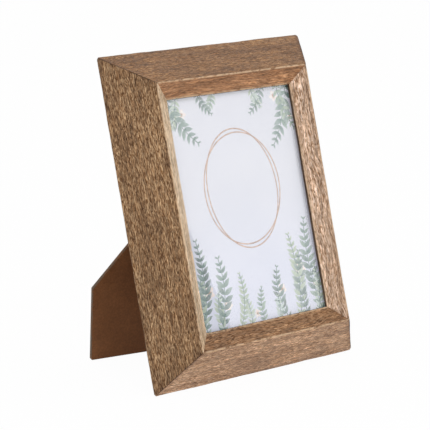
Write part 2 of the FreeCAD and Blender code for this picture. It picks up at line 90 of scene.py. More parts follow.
# The tilted leaf's upper corner keeps its margin from the top of the board
HINGE_HEIGHT = ((OUTER_HEIGHT + BOARD_HEIGHT) / 2 - LEAF_MARGIN
                - BOARD_LEAF_REACH * math.cos(math.radians(HINGE_TILT))
                - LEAF_HALF_WIDTH * math.sin(math.radians(HINGE_TILT)))
strut_fold = next(joint for joint in frame["joints"] if joint["name"] == "strut_fold")
STRUT_OPENING = strut_fold["range_deg"][1]


# Places

def turned(axis, degrees):
    """A turn about one axis."""
    return Matrix.Rotation(math.radians(degrees), 4, axis)


def moved(x, y, z):
    """A move, in millimetres."""
    return Matrix.Translation((x, y, z))


TO_METRES = Matrix.Scale(MM, 4)
# The frame leans back and stands where its hinge meets the part's own joint
LEANING = moved(*(distance / MM for distance in strut_fold["pos_m"])) @ turned("X", -LEAN)
STAND = LEANING @ moved(0, -HINGE_DEPTH, -HINGE_HEIGHT)
HINGE = LEANING @ turned("Y", HINGE_TILT)
STRUT = HINGE @ turned("X", STRUT_OPENING)
# A flat drawing's X and Y, from the middle of the print's face
DRAWING = STAND @ moved(0, -PRINT_FRONT, OUTER_HEIGHT / 2) @ turned("X", 90)


# Nodes

def colour(red, green, blue):
    """An opaque colour, in linear light."""
    return (red, green, blue, 1.0)


class Nodes:
    """Adds nodes to one tree and links them as it goes."""

    def __init__(self, tree):
        self.tree = tree

    def add(self, kind, inputs=(), **settings):
        """A node with its settings made and its inputs fed."""
        made = self.tree.nodes.new(kind)
        for key, value in settings.items():
            setattr(made, key, value)
        for key, value in dict(inputs).items():
            self.feed(made.inputs[key], value)
        return made

    def feed(self, socket, value):
        """Link another node's output to a socket, or set the socket to a value."""
        if isinstance(value, bpy.types.NodeSocket):
            self.tree.links.new(value, socket)
        else:
            socket.default_value = value

    def math(self, operation, *values, clamp=False):
        """A number worked out from numbers."""
        return self.add("ShaderNodeMath", enumerate(values), operation=operation,
                        use_clamp=clamp).outputs[0]

    def plus(self, first, second):
        return self.math("ADD", first, second)

    def minus(self, first, second):
        return self.math("SUBTRACT", first, second)

    def times(self, first, second):
        return self.math("MULTIPLY", first, second)

    def moved_by(self, place, way):
        """A place moved along a way."""
        return self.add("ShaderNodeVectorMath", {0: place, 1: way}, operation="ADD").outputs[0]

    def scaled(self, value, factor):
        """A place or a colour times one number."""
        return self.add("ShaderNodeVectorMath", {0: value, "Scale": factor},
                        operation="SCALE").outputs[0]

    def stretched(self, value, factors):
        """A place or a colour times a factor for each of its three numbers."""
        return self.add("ShaderNodeVectorMath", {0: value, 1: factors},
                        operation="MULTIPLY").outputs[0]

    def combined(self, x=0.0, y=0.0, z=0.0):
        """A place, a turn or a size from its three numbers."""
        return self.add("ShaderNodeCombineXYZ", {0: x, 1: y, 2: z}).outputs[0]

    def parts(self, place):
        """A place's three numbers, under X, Y and Z."""
        return self.add("ShaderNodeSeparateXYZ", {0: place}).outputs

    def mixed(self, factor, first, second):
        """A number between two numbers."""
        return self.add("ShaderNodeMix", {0: factor, 2: first, 3: second},
                        data_type="FLOAT").outputs[0]

    def blend(self, factor, first, second, how="MIX"):
        """A colour between two colours."""
        return self.add("ShaderNodeMix", {0: factor, 6: first, 7: second}, data_type="RGBA",
                        blend_type=how).outputs[2]

    def shaded(self, factor, base, shade):
        """A colour that goes over to itself times a shade."""
        return self.blend(factor, base, self.stretched(base, shade))

    def noise(self, place, scale=1.0, detail=2.0, roughness=0.5):
        """A number that wanders about a half, in so many waves for each unit of the place."""
        return self.add("ShaderNodeTexNoise", {"Vector": place, "Scale": scale, "Detail": detail,
                                               "Roughness": roughness}).outputs[0]

    def between(self, value, low, high, bottom=0.0, top=1.0):
        """From bottom to top while the value goes from low to high, eased at both ends."""
        return self.add("ShaderNodeMapRange", enumerate((value, low, high, bottom, top)),
                        interpolation_type="SMOOTHSTEP").outputs[0]

    def seen(self):
        """One for what the camera sees, also in a mirror or through glass, zero for its light."""
        path = self.add("ShaderNodeLightPath").outputs
        direct = self.math("MAXIMUM", path["Is Camera Ray"], path["Is Glossy Ray"])
        return self.math("MAXIMUM", direct, path["Is Transmission Ray"])


class Finish(Nodes):
    """The nodes of a new material, around its shader."""

    def __init__(self, name):
        self.material = bpy.data.materials.new(name)
        self.material.use_nodes = True
        super().__init__(self.material.node_tree)
        self.shader = self.tree.nodes["Principled BSDF"]

    def spot(self):
        """The place on the piece, in metres."""
        return self.add("ShaderNodeTexCoord").outputs["Object"]

    def kept(self, name, output="Fac"):
        """What the mesh keeps under a name."""
        return self.add("ShaderNodeAttribute", attribute_name=name).outputs[output]

    def set_plain(self, **values):
        """Set what is the same all over on the shader's own sockets."""
        for key, value in values.items():
            socket = key.replace("_", " ").title().replace("Ior", "IOR")
            self.shader.inputs[socket].default_value = value

    def surface(self, base, rough, height, depth, **plain):
        """End in a colour, a roughness and a relief so many metres deep."""
        self.feed(self.shader.inputs["Base Color"], base)
        self.feed(self.shader.inputs["Roughness"], rough)
        bump = self.add("ShaderNodeBump", {"Height": height, "Distance": depth, "Strength": 1.0})
        self.feed(self.shader.inputs["Normal"], bump.outputs[0])
        self.set_plain(**plain)
        return self.material

    def mixed_with(self, share, other):
        """End in the shader with a share of another one."""
        mix = self.add("ShaderNodeMixShader", {0: share, 1: self.shader.outputs[0],
                                               2: other.outputs[0]})
        self.feed(self.tree.nodes["Material Output"].inputs["Surface"], mix.outputs[0])
        return self.material


# Materials

# Each rail's wood: the tone of its outer and of its inner face, how strongly each is flecked
# The tones are partly the wood's own and partly painted light and shade, each face lighter or darker
# by how it was lit; the left stile's pale inner tone also holds a painted sheen
RAIL_TONES_WITH_PAINTED_LIGHT = {
    "left_stile": (colour(0.260, 0.144, 0.064), colour(0.680, 0.506, 0.325), 1.60, 0.85),
    "top_rail": (colour(0.242, 0.114, 0.039), colour(0.370, 0.180, 0.079), 0.85, 0.62),
    "right_stile": (colour(0.330, 0.200, 0.110), colour(0.540, 0.366, 0.247), 0.90, 1.02),
    "bottom_rail": (colour(0.485, 0.280, 0.147), colour(0.300, 0.157, 0.070), 0.92, 1.10),
}
# The wood's marks: how long each is along the grain and how wide across it, in metres, and the
# detail and roughness of its noise
WOOD_MARKS = {
    "figure": (0.075, 0.0062, 4.0, 0.55),
    "streak": (0.016, 0.0012, 3.0, 0.65),
    "hair": (0.013, 0.00058, 2.0, 0.6),
    "fleck": (0.0040, 0.00066, 2.0, 0.6),
    "ray": (0.0048, 0.00070, 2.0, 0.6),
    "pore": (0.0024, 0.00034, 1.0, 0.5),
}
# How far the grain sways in long and in short waves, in metres, their waves for each metre, and
# how much of it goes each way
WANDER = 0.014
WANDER_WAVES = (11.0, 30.0, 30.0)
RIPPLE = 0.0022
RIPPLE_WAVES = (60.0, 110.0, 110.0)
SWAY_WAYS = (0.15, 1.0, 1.0)
# What the marks and the stains do to the tone under them: a factor for red, green and blue
FIGURE_DARK = colour(0.75, 0.69, 0.63)
FIGURE_PALE = colour(1.20, 1.20, 1.22)
FLECK_SHADE = (0.38, 0.28, 0.17)
RAY_SHADE = (1.72, 2.02, 2.45)
PORE_SHADE = (0.40, 0.33, 0.27)
STAIN_SHADE = (0.52, 0.42, 0.34)
# The lip's side in the gap before the glass: its stain, darkened further by a painted shadow
LIP_SHADOW_AND_STAIN = (0.20, 0.17, 0.15)
# What shows in their place on worn edges, in the seams and on sawn hardboard
WORN_WOOD = colour(0.74, 0.52, 0.33)
SEAM_DIRT = colour(0.075, 0.038, 0.018)
SAWN_EDGE = colour(0.110, 0.082, 0.056)
# How far printed ink stands out of the paper, in metres
INK_RELIEF = 0.000005


def mango_wood(name, outer, inner, outer_flecks, inner_flecks):
    """Waxed mango wood: streaks along the grain, open pores, pale flecks, rubbed edges, and stain
    with a painted shadow on the lip's side.
    """
    nodes = Finish(name)
    place = nodes.kept("grain_place", "Vector")
    bevel = nodes.kept("inner_face")

    wander = nodes.noise(nodes.stretched(place, WANDER_WAVES))
    ripple = nodes.noise(nodes.stretched(place, RIPPLE_WAVES))
    sway = nodes.plus(nodes.times(wander, WANDER), nodes.times(ripple, RIPPLE))
    grain = nodes.moved_by(place, nodes.scaled(SWAY_WAYS, sway))
    marks = {}
    for mark, (length, width, detail, roughness) in WOOD_MARKS.items():
        drawn = nodes.stretched(grain, (1 / length, 1 / width, 1 / width))
        marks[mark] = nodes.noise(drawn, 1.0, detail, roughness)
    strength = nodes.mixed(bevel, outer_flecks, inner_flecks)
    dark = nodes.times(nodes.between(marks["fleck"], 0.50, 0.59), strength)
    pale = nodes.times(nodes.between(marks["ray"], 0.50, 0.60),
                       nodes.times(strength, nodes.mixed(bevel, 1.0, 0.6)))
    hole = nodes.between(marks["pore"], 0.58, 0.68)

    figure = nodes.blend(nodes.between(marks["figure"], 0.34, 0.66), FIGURE_DARK, FIGURE_PALE)
    base = nodes.blend(1.0, nodes.blend(bevel, outer, inner), figure, "MULTIPLY")
    swing = nodes.mixed(bevel, 0.20, 0.30)
    base = nodes.scaled(base, nodes.between(marks["streak"], 0.28, 0.72,
                                            nodes.minus(1.0, swing), nodes.plus(1.0, swing)))
    base = nodes.scaled(base, nodes.between(marks["hair"], 0.40, 0.60, 0.78, 1.22))
    base = nodes.shaded(nodes.times(dark, 0.85), base, FLECK_SHADE)
    base = nodes.shaded(nodes.times(pale, 0.90), base, RAY_SHADE)
    base = nodes.shaded(nodes.times(hole, 0.55), base, PORE_SHADE)

    patchy = nodes.between(nodes.noise(place, 240.0, 3.0, 0.6), 0.36, 0.56, 0.10, 1.0)
    base = nodes.blend(nodes.times(nodes.kept("rubbed"), patchy), base, WORN_WOOD)
    smear = nodes.times(nodes.kept("near_mitre"), nodes.between(wander, 0.35, 0.60, 0.15, 0.80))
    base = nodes.shaded(smear, base, STAIN_SHADE)
    base = nodes.blend(nodes.kept("seam"), base, SEAM_DIRT)
    # Stain and painted shadow on the lip's side
    base = nodes.shaded(nodes.kept("lip"), base, LIP_SHADOW_AND_STAIN)

    rough = nodes.plus(0.42, nodes.times(dark, 0.20))
    relief = nodes.minus(nodes.times(marks["streak"], 0.6), nodes.plus(nodes.times(dark, 0.6), hole))
    return nodes.surface(base, rough, relief, 0.00012, specular_ior_level=0.34,
                         coat_weight=0.04, coat_roughness=0.4)


def hardboard(name, face, fibre):
    """Hardboard with a stained, finely embossed face: pressed fibres, mottle and sawn edges."""
    nodes = Finish(name)
    place = nodes.spot()
    cloud = nodes.noise(place, 30.0, 4.0, 0.6)
    emboss = nodes.noise(place, 620.0, 3.0, 0.6)
    fibres = nodes.noise(nodes.stretched(place, (1400.0, 900.0, 2600.0)), 1.0, 3.0, 0.6)
    specks = nodes.between(nodes.noise(place, 2100.0), 0.60, 0.72)
    base = nodes.blend(nodes.between(cloud, 0.32, 0.68), face, fibre)
    base = nodes.scaled(base, nodes.between(emboss, 0.3, 0.7, 0.86, 1.16))
    base = nodes.scaled(base, nodes.between(fibres, 0.3, 0.7, 0.92, 1.10))
    base = nodes.shaded(nodes.times(specks, 0.25), base, (1.6, 1.5, 1.4))
    patchy = nodes.between(nodes.noise(place, 160.0, 3.0, 0.6), 0.34, 0.62, 0.25, 0.85)
    base = nodes.blend(nodes.times(nodes.kept("rubbed"), patchy), base, SAWN_EDGE)
    rough = nodes.between(cloud, 0.2, 0.8, 0.46, 0.60)
    relief = nodes.plus(emboss, nodes.times(fibres, 0.4))
    return nodes.surface(base, rough, relief, 0.00004, specular_ior_level=0.16)


def pine_strip():
    """Sawn pine: pale, with soft brown growth lines along each strip."""
    nodes = Finish("pine")
    place = nodes.spot()
    lines = nodes.noise(nodes.stretched(place, (300.0, 60.0, 300.0)), 1.0, 4.0, 0.6)
    saw = nodes.noise(place, 1500.0)
    base = nodes.blend(nodes.between(lines, 0.42, 0.62), colour(0.66, 0.47, 0.27),
                       colour(0.47, 0.28, 0.13))
    return nodes.surface(base, nodes.between(saw, 0.3, 0.7, 0.62, 0.8), saw, 0.00005)


def mottled(name, scale, detail, roughness, dark, pale, smooth, dull, depth):
    """A finish of two tones in fine cells, which also make its roughness and its relief."""
    nodes = Finish(name)
    cells = nodes.noise(nodes.spot(), scale, detail, roughness)
    base = nodes.blend(nodes.between(cells, 0.35, 0.65), dark, pale)
    return nodes.surface(base, nodes.between(cells, 0.3, 0.7, smooth, dull), cells, depth)


def grey_card():
    """Pulp card with scattered fibres."""
    return mottled("grey_card", 900.0, 4.0, 0.65, colour(0.34, 0.29, 0.23),
                   colour(0.47, 0.42, 0.34), 0.8, 0.92, 0.00003)


def copper_ink():
    """The print's thin copper-coloured lines."""
    return mottled("copper_ink", 300.0, 3.0, 0.6, colour(0.40, 0.22, 0.15),
                   colour(0.66, 0.42, 0.32), 0.35, 0.5, INK_RELIEF)


def steel(name, tint, rough, worn=0.6):
    """Plated steel: rolling lines, crystalline plating, dull patches, a few dark pits, and painted
    shade in its crevices and down the sides of turned heads.
    """
    nodes = Finish(name)
    place = nodes.spot()
    rolled = nodes.noise(nodes.stretched(place, (300.0, 3000.0, 5200.0)))
    cloud = nodes.noise(place, 420.0, 3.0, 0.6)
    crystal = nodes.add("ShaderNodeTexVoronoi", {"Vector": place, "Scale": 1300.0}).outputs["Color"]
    pits = nodes.between(nodes.noise(place, 2600.0), 0.64, 0.72)
    dull = nodes.between(cloud, 0.38, 0.64, 0.0, worn)
    base = nodes.blend(dull, tint, nodes.stretched(tint[:3], (0.58, 0.56, 0.52)))
    base = nodes.scaled(base, nodes.between(crystal, 0.0, 1.0, 0.86, 1.10))
    base = nodes.blend(nodes.times(pits, 0.6), base, colour(0.16, 0.13, 0.10))
    # Painted shade: darker where the steel is hemmed in, in creases and where it meets other parts
    occlusion_for_painted_shade = nodes.add("ShaderNodeAmbientOcclusion", {"Distance": 0.0016}).outputs["AO"]
    base = nodes.scaled(base, nodes.between(occlusion_for_painted_shade, 0.25, 0.95, 0.30, 1.0))
    # Painted shade on turned heads, darker below the crown
    base = nodes.shaded(nodes.kept("rim"), base, (0.50, 0.48, 0.45))
    shine = nodes.plus(rough, nodes.times(dull, 0.24))
    shine = nodes.plus(shine, nodes.times(rolled, 0.10))
    return nodes.surface(base, shine, nodes.minus(rolled, pits), 0.00002, metallic=1.0)


def clear_glass():
    """Float glass that lets the lamps through to the print."""
    nodes = Finish("clear_glass")
    dust = nodes.noise(nodes.spot(), 60.0, 3.0)
    nodes.feed(nodes.shader.inputs["Roughness"], nodes.between(dust, 0.4, 0.8, 0.0, 0.008))
    nodes.set_plain(base_color=colour(0.985, 0.995, 0.990), transmission_weight=1.0, ior=1.5)
    let_through = nodes.add("ShaderNodeBsdfTransparent", {"Color": colour(0.96, 0.97, 0.97)})
    path = nodes.add("ShaderNodeLightPath").outputs
    unseen = nodes.math("MAXIMUM", path["Is Shadow Ray"], path["Is Diffuse Ray"])
    return nodes.mixed_with(unseen, let_through)


def print_paper():
    """Matt coated paper with a fine tooth and a printed wash that is cooler lower down."""
    nodes = Finish("print_paper")
    place = nodes.spot()
    tooth = nodes.noise(place, 2400.0, 3.0, 0.6)
    wash = nodes.noise(place, 22.0)
    base = nodes.blend(nodes.between(wash, 0.3, 0.7), colour(0.665, 0.655, 0.728),
                       colour(0.700, 0.685, 0.752))
    low = nodes.between(nodes.parts(place)["Z"], 0.04, 0.16, 1.0, 0.0)
    base = nodes.shaded(low, base, (1.0, 1.02, 1.09))
    return nodes.surface(base, nodes.between(tooth, 0.3, 0.7, 0.6, 0.7), tooth, 0.000002,
                         specular_ior_level=0.25)


LEAF_INKS = (colour(0.075, 0.120, 0.115), colour(0.120, 0.200, 0.185),
             colour(0.230, 0.320, 0.250), colour(0.380, 0.440, 0.310),
             colour(0.500, 0.570, 0.550))


def leaf_ink():
    """Printed greens: each leaf has its own tint, washed out unevenly towards its end."""
    nodes = Finish("leaf_ink")
    ramp = nodes.add("ShaderNodeValToRGB", {0: nodes.kept("tint")})
    stops = ramp.color_ramp.elements
    while len(stops) < len(LEAF_INKS):
        stops.new(1.0)
    for number, (stop, ink) in enumerate(zip(stops, LEAF_INKS)):
        stop.position = number / (len(LEAF_INKS) - 1)
        stop.color = ink
    pool = nodes.noise(nodes.spot(), 420.0, 3.0, 0.6)
    washed = nodes.plus(nodes.times(nodes.kept("leaf_reach"), 0.55), nodes.times(pool, 0.9))
    base = nodes.blend(nodes.between(washed, 0.45, 1.15, 0.0, 0.50), ramp.outputs[0],
                       colour(0.66, 0.69, 0.70))
    return nodes.surface(base, nodes.between(pool, 0.3, 0.7, 0.45, 0.6), pool, INK_RELIEF)


def blossom_ink():
    """Blush petals around a copper middle."""
    nodes = Finish("blossom_ink")
    wash = nodes.noise(nodes.spot(), 380.0, 3.0, 0.6)
    petal = nodes.blend(nodes.between(wash, 0.35, 0.65), colour(0.80, 0.66, 0.62),
                        colour(0.87, 0.80, 0.79))
    base = nodes.blend(nodes.between(nodes.kept("leaf_reach"), 0.16, 0.30),
                       colour(0.50, 0.28, 0.18), petal)
    return nodes.surface(base, nodes.between(wash, 0.3, 0.7, 0.45, 0.6), wash, INK_RELIEF)


# Meshes

CREASE = 32.0
SHEET_CREASE = 25.0


def in_scene(name, data):
    """A new object in the scene."""
    made = bpy.data.objects.new(name, data)
    bpy.context.scene.collection.objects.link(made)
    return made


def new_piece(name, mesh, place, material, body, slot, *replaced, crease=CREASE):
    """Put a finished mesh in its place, as a piece that rides on a body of the frame."""
    mesh.transform(TO_METRES @ place)
    if crease:
        smooth_by_angle(mesh, crease)
    mesh.materials.clear()
    mesh.materials.append(material)
    piece = in_scene(name, mesh)
    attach(piece, body)
    if replaced:
        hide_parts(*replaced)


def smooth_by_angle(mesh, degrees):
    """Shade smooth, with a crease where two faces meet at more than an angle and flat ends."""
    mesh.shade_smooth()
    mesh.set_sharp_from_angle(angle=math.radians(degrees))
    for face in mesh.polygons:
        if face.loop_total > 4:
            face.use_smooth = False


def set_values(mesh, name, values):
    """Store one number for each point of a mesh."""
    layer = mesh.attributes.new(name, "FLOAT", "POINT")
    layer.data.foreach_set("value", values)


def rectangle(left, low, right, high, low_round, high_round):
    """The corners of an upright rectangle: across, up and rounding."""
    return [(left, low, low_round), (right, low, low_round),
            (right, high, high_round), (left, high, high_round)]


def rounded_outline(corners, steps=6, spacing=None):
    """A closed outline with each corner rounded as it says, and its straight runs divided."""
    bent = []
    for k, (x, y, radius) in enumerate(corners):
        here = Vector((x, y))
        before = (Vector(corners[k - 1][:2]) - here).normalized()
        after = (Vector(corners[(k + 1) % len(corners)][:2]) - here).normalized()
        if not radius:
            bent.append([here])
            continue
        half = before.angle(after) / 2
        middle = here + (before + after).normalized() * (radius / math.sin(half))
        start = here + before * (radius / math.tan(half)) - middle
        stop = here + after * (radius / math.tan(half)) - middle
        sweep = math.atan2(start.x * stop.y - start.y * stop.x, start.dot(stop))
        bent.append([middle + Matrix.Rotation(sweep * s / steps, 2) @ start
                     for s in range(steps + 1)])
    points = []
    for k, run in enumerate(bent):
        points.extend(run)
        if spacing:
            gap = bent[(k + 1) % len(bent)][0] - run[-1]
            count = max(1, round(gap.length / spacing))
            points.extend(run[-1] + gap * (s / count) for s in range(1, count))
    return [tuple(p) for p in points]


def bare_mesh(name, points, edges=(), faces=()):
    """A mesh of points, edges and faces just as they are listed."""
    mesh = bpy.data.meshes.new(name)
    mesh.from_pydata(points, edges, faces)
    return mesh


def new_mesh(name, points, faces):
    """A mesh with its faces turned outwards."""
    mesh = bare_mesh(name, points, faces=faces)
    shape = bmesh.new()
    shape.from_mesh(mesh)
    bmesh.ops.recalc_face_normals(shape, faces=shape.faces)
    shape.to_mesh(mesh)
    shape.free()
    return mesh


def joined(name, meshes):
    """One mesh of several."""
    shape = bmesh.new()
    for mesh in meshes:
        shape.from_mesh(mesh)
    whole = bpy.data.meshes.new(name)
    shape.to_mesh(whole)
    shape.free()
    return whole


def tube_faces(rings, count, closed=False):
    """Faces between rings of points, with the ends filled, or with the last joined to the first."""
    faces = [] if closed else [tuple(range(count)), tuple(range((rings - 1) * count, rings * count))]
    for r in range(rings if closed else rings - 1):
        after = (r + 1) % rings
        for k in range(count):
            n = (k + 1) % count
            faces.append((r * count + k, r * count + n, after * count + n, after * count + k))
    return faces


def inset_outline(outline, inset):
    """The points of a closed outline moved inwards."""
    count = len(outline)
    area = sum(outline[k - 1][0] * outline[k][1] - outline[k][0] * outline[k - 1][1]
               for k in range(count))
    inner = []
    for k, here in enumerate(outline):
        way = (Vector(outline[(k + 1) % count]) - Vector(outline[k - 1])).normalized()
        inner.append(Vector(here) + Vector((-way.y, way.x)) * math.copysign(inset, area))
    return inner


def edge_steps(front, back, edge, steps=3):
    """The (depth, inset) steps of a sheet's edge, rounded over at its front and its back."""
    angles = [math.pi / 2 * s / steps for s in range(steps + 1)]
    over = [(front + edge * (1 - math.sin(a)), edge * (1 - math.cos(a))) for a in angles]
    under = [(back - edge * (1 - math.sin(a)), edge * (1 - math.cos(a))) for a in angles]
    return over[::-1] + under


def slab(name, outline, front, back, edge, hole=0.0):
    """A flat sheet cut to an outline in X and Z, perhaps with a round hole about the origin.

    The edges are rounded over at the front and at the back, in the hole too.
    """
    rings = edge_steps(front, back, edge)
    points = [(spot.x, depth, spot.y) for depth, inset in rings
              for spot in inset_outline(outline, inset)]
    if not hole:
        return new_mesh(name, points, tube_faces(len(rings), len(outline)))
    for depth, inset in reversed(rings):
        for x, z in outline:
            rim = Vector((x, z)).normalized() * (hole + inset)
            points.append((rim.x, depth, rim.y))
    return new_mesh(name, points, tube_faces(2 * len(rings), len(outline), closed=True))


# A turned head gets painted shade, darker by its depth below the crown in parts of its radius, times
# the gain and less the start
PAINTED_SHADE_START = 0.1
PAINTED_SHADE_GAIN = 2.4


def turned_shape(name, profile, sides=32):
    """A shape turned about Y from a profile of (radius, depth) points, with painted shade kept below
    its crown.
    """
    angles = [math.tau * k / sides for k in range(sides)]
    points = [(radius * math.cos(angle), depth, radius * math.sin(angle))
              for radius, depth in profile for angle in angles]
    mesh = new_mesh(name, points, tube_faces(len(profile), sides))
    crown, widest = profile[0][1], max(radius for radius, depth in profile)
    # Painted shade down the head's sides, kept as rim
    set_values(mesh, "rim", [min(1.0, max(0.0, (crown - point.co.y) / widest * PAINTED_SHADE_GAIN - PAINTED_SHADE_START))
                             for point in mesh.vertices])
    return mesh


def plain_mesh(name, holder):
    """The plain mesh that an object's modifiers make, with the object then removed."""
    graph = bpy.context.evaluated_depsgraph_get()
    mesh = bpy.data.meshes.new_from_object(holder.evaluated_get(graph), depsgraph=graph)
    mesh.name = name
    holder.modifiers.clear()
    bpy.data.objects.remove(holder)
    return mesh


def thickened(name, mesh, thickness, edge):
    """Give a sheet its thickness on both sides of its mesh, and break its cut edges."""
    holder = in_scene(name, mesh)
    wall = holder.modifiers.new("wall", "SOLIDIFY")
    wall.thickness, wall.offset, wall.use_even_offset = thickness, 0.0, True
    bevel = holder.modifiers.new("edges", "BEVEL")
    bevel.width, bevel.segments = edge, 2
    bevel.limit_method, bevel.angle_limit = "ANGLE", math.radians(50)
    return plain_mesh(name, holder)


# Geometry node trees

class Growth(Nodes):
    """The nodes of a new tree, with a geometry in and out and a named input for each size."""

    def __init__(self, name, sizes, shape=None):
        super().__init__(bpy.data.node_groups.new(name, "GeometryNodeTree"))
        kinds = {"Geometry": "Geometry", **{size: "Float" for size in sizes}, "Seed": "Int",
                 "Material": "Material", **({shape: "Object"} if shape else {})}
        for socket, kind in kinds.items():
            self.tree.interface.new_socket(socket, socket_type="NodeSocket" + kind)
        self.tree.interface.new_socket("Geometry", in_out="OUTPUT",
                                       socket_type="NodeSocketGeometry")
        self.given = self.add("NodeGroupInput").outputs

    def take(self, kind, output=0, **inputs):
        """An output of a node whose inputs are named by keywords."""
        named = {key.replace("_", " ").title(): value for key, value in inputs.items()}
        return self.add(kind, named).outputs[output]

    def named(self, name):
        """What the geometry keeps under a name."""
        return self.take("GeometryNodeInputNamedAttribute", "Attribute", name=name)

    def store(self, geometry, name, value, domain="POINT", kind="FLOAT"):
        """Keep a value on the geometry under a name."""
        return self.add("GeometryNodeStoreNamedAttribute",
                        {"Geometry": geometry, "Name": name, "Value": value},
                        domain=domain, data_type=kind).outputs[0]

    def chance(self, low, high, number=None):
        """A random number for each point or copy, or for each number of a list."""
        drawn = {2: low, 3: high, "Seed": self.given["Seed"]}
        if number:
            drawn["ID"] = number
        return self.add("FunctionNodeRandomValue", drawn).outputs[1]

    def copies(self, points, shape, rotation, scale=(1.0, 1.0, 1.0)):
        """A copy of a shape at each point."""
        return self.take("GeometryNodeInstanceOnPoints", points=points, instance=shape,
                         rotation=rotation, scale=scale)

    def layered(self, copies):
        """Each copy lifted by its own part of a thin layer, so that none lies in another."""
        lift = self.combined(z=self.chance(0.0, self.given["Layer"]))
        return self.take("GeometryNodeTranslateInstances", instances=copies, translation=lift)

    def closed(self, geometry):
        """End in real geometry with its material."""
        real = self.take("GeometryNodeRealizeInstances", geometry=geometry)
        dressed = self.take("GeometryNodeSetMaterial", geometry=real,
                            material=self.given["Material"])
        self.add("NodeGroupOutput", {0: dressed})
        return self.tree


def grow(name, source, tree, values):
    """Run a tree on a source mesh and return the plain mesh that it makes."""
    holder = in_scene(name, source)
    modifier = holder.modifiers.new(tree.name, "NODES")
    modifier.node_group = tree
    for item in tree.interface.items_tree:
        if item.in_out == "INPUT" and item.name in values:
            modifier[item.identifier] = values[item.name]
    return plain_mesh(name, holder)


# The rails

SECTION = (
    # depth in front of the back, inset from the outer edge, rounding, how far it is rubbed
    (0.0, 0.0, 0.8, 1.3),
    (FRAME_DEPTH, SLOPE_WIDTH, 1.6, 1.35),
    (SIGHT_DEPTH, RAIL_WIDTH, 0.6, 0.7),
    (LIP_BACK, RAIL_WIDTH, 0.0, 0.0),
    (LIP_BACK, REBATE_INSET, 0.0, 0.0),
    (BOARD_THICKNESS, REBATE_INSET, 0.0, 0.0),
    (BOARD_THICKNESS, BACK_LAND, 0.0, 0.0),
    (0.0, BACK_LAND, 0.3, 0.6),
)
SECTION_SPACING = 1.8
RUB_GAIN = 1.9
MITRE_STATION_SHARES = (0.0, 0.0012, 0.0028, 0.006, 0.012)
RAIL_STATIONS = 190
# Each rail: its length, where its outer edge lies, and its turn
RAIL_PLACES = {
    "bottom_rail": (OUTER_WIDTH, 0.0, 0.0, 0),
    "right_stile": (OUTER_HEIGHT, OUTER_WIDTH / 2, OUTER_HEIGHT / 2, -90),
    "top_rail": (OUTER_WIDTH, 0.0, OUTER_HEIGHT, 180),
    "left_stile": (OUTER_HEIGHT, -OUTER_WIDTH / 2, OUTER_HEIGHT / 2, 90),
}
MOULDING = {"Mitre Gap": 0.03, "Groove Depth": 0.12, "Groove Width": 0.35, "Corner Round": 3.2,
            "Corner Reach": 9.0, "Waviness": 0.42, "Chip Depth": 0.5, "Stain Reach": 5.5,
            "Level Reach": 9.0}
# How far apart the rails were cut from one board, and the waves for each millimetre of the
# sanding and of the nicks
CUT_APART = 137.0
SANDING_WAVES = (0.030, 0.07, 0.07)
NICK_WAVES = (0.42, 0.30, 0.30)
# How much of the groove and of the stain reach the inner faces, and of the wear the wood's edges
INNER_GROOVE = 0.08
INNER_STAIN = 0.35
EDGE_WEAR = 0.75


def rail_blank():
    """The moulding's section along a rail of half length one, before its mitres are cut."""
    outline = rounded_outline([(-depth, inset, radius) for depth, inset, radius, reach in SECTION],
                              7, SECTION_SPACING)
    shares = sorted({side * (1 - share) for share in MITRE_STATION_SHARES for side in (-1, 1)}
                    | {2 * k / RAIL_STATIONS - 1 for k in range(2, RAIL_STATIONS - 1)})
    points = [(share, y, z) for share in shares for y, z in outline]
    mesh = new_mesh("rail_blank", points, tube_faces(len(shares), len(outline)))

    rubbed, inner, lip = [], [], []
    for point in mesh.vertices:
        spot = Vector((point.co.y, point.co.z))
        near = [max(0.0, 1 - (spot - Vector((-depth, inset))).length / reach)
                for depth, inset, radius, reach in SECTION if reach]
        rubbed.append(min(1.0, RUB_GAIN * max(near)))
        inner.append(float(spot.y > SLOPE_WIDTH and spot.x < -LIP_BACK))
        # The lip's side, behind its rounded front edge, which gets its stain and a painted shadow
        lip.append(float(spot.y > RAIL_WIDTH - 0.1 and spot.x > -SIGHT_DEPTH + 0.3))
    set_values(mesh, "rubbed", rubbed)
    set_values(mesh, "inner_face", inner)
    set_values(mesh, "lip", lip)
    return mesh


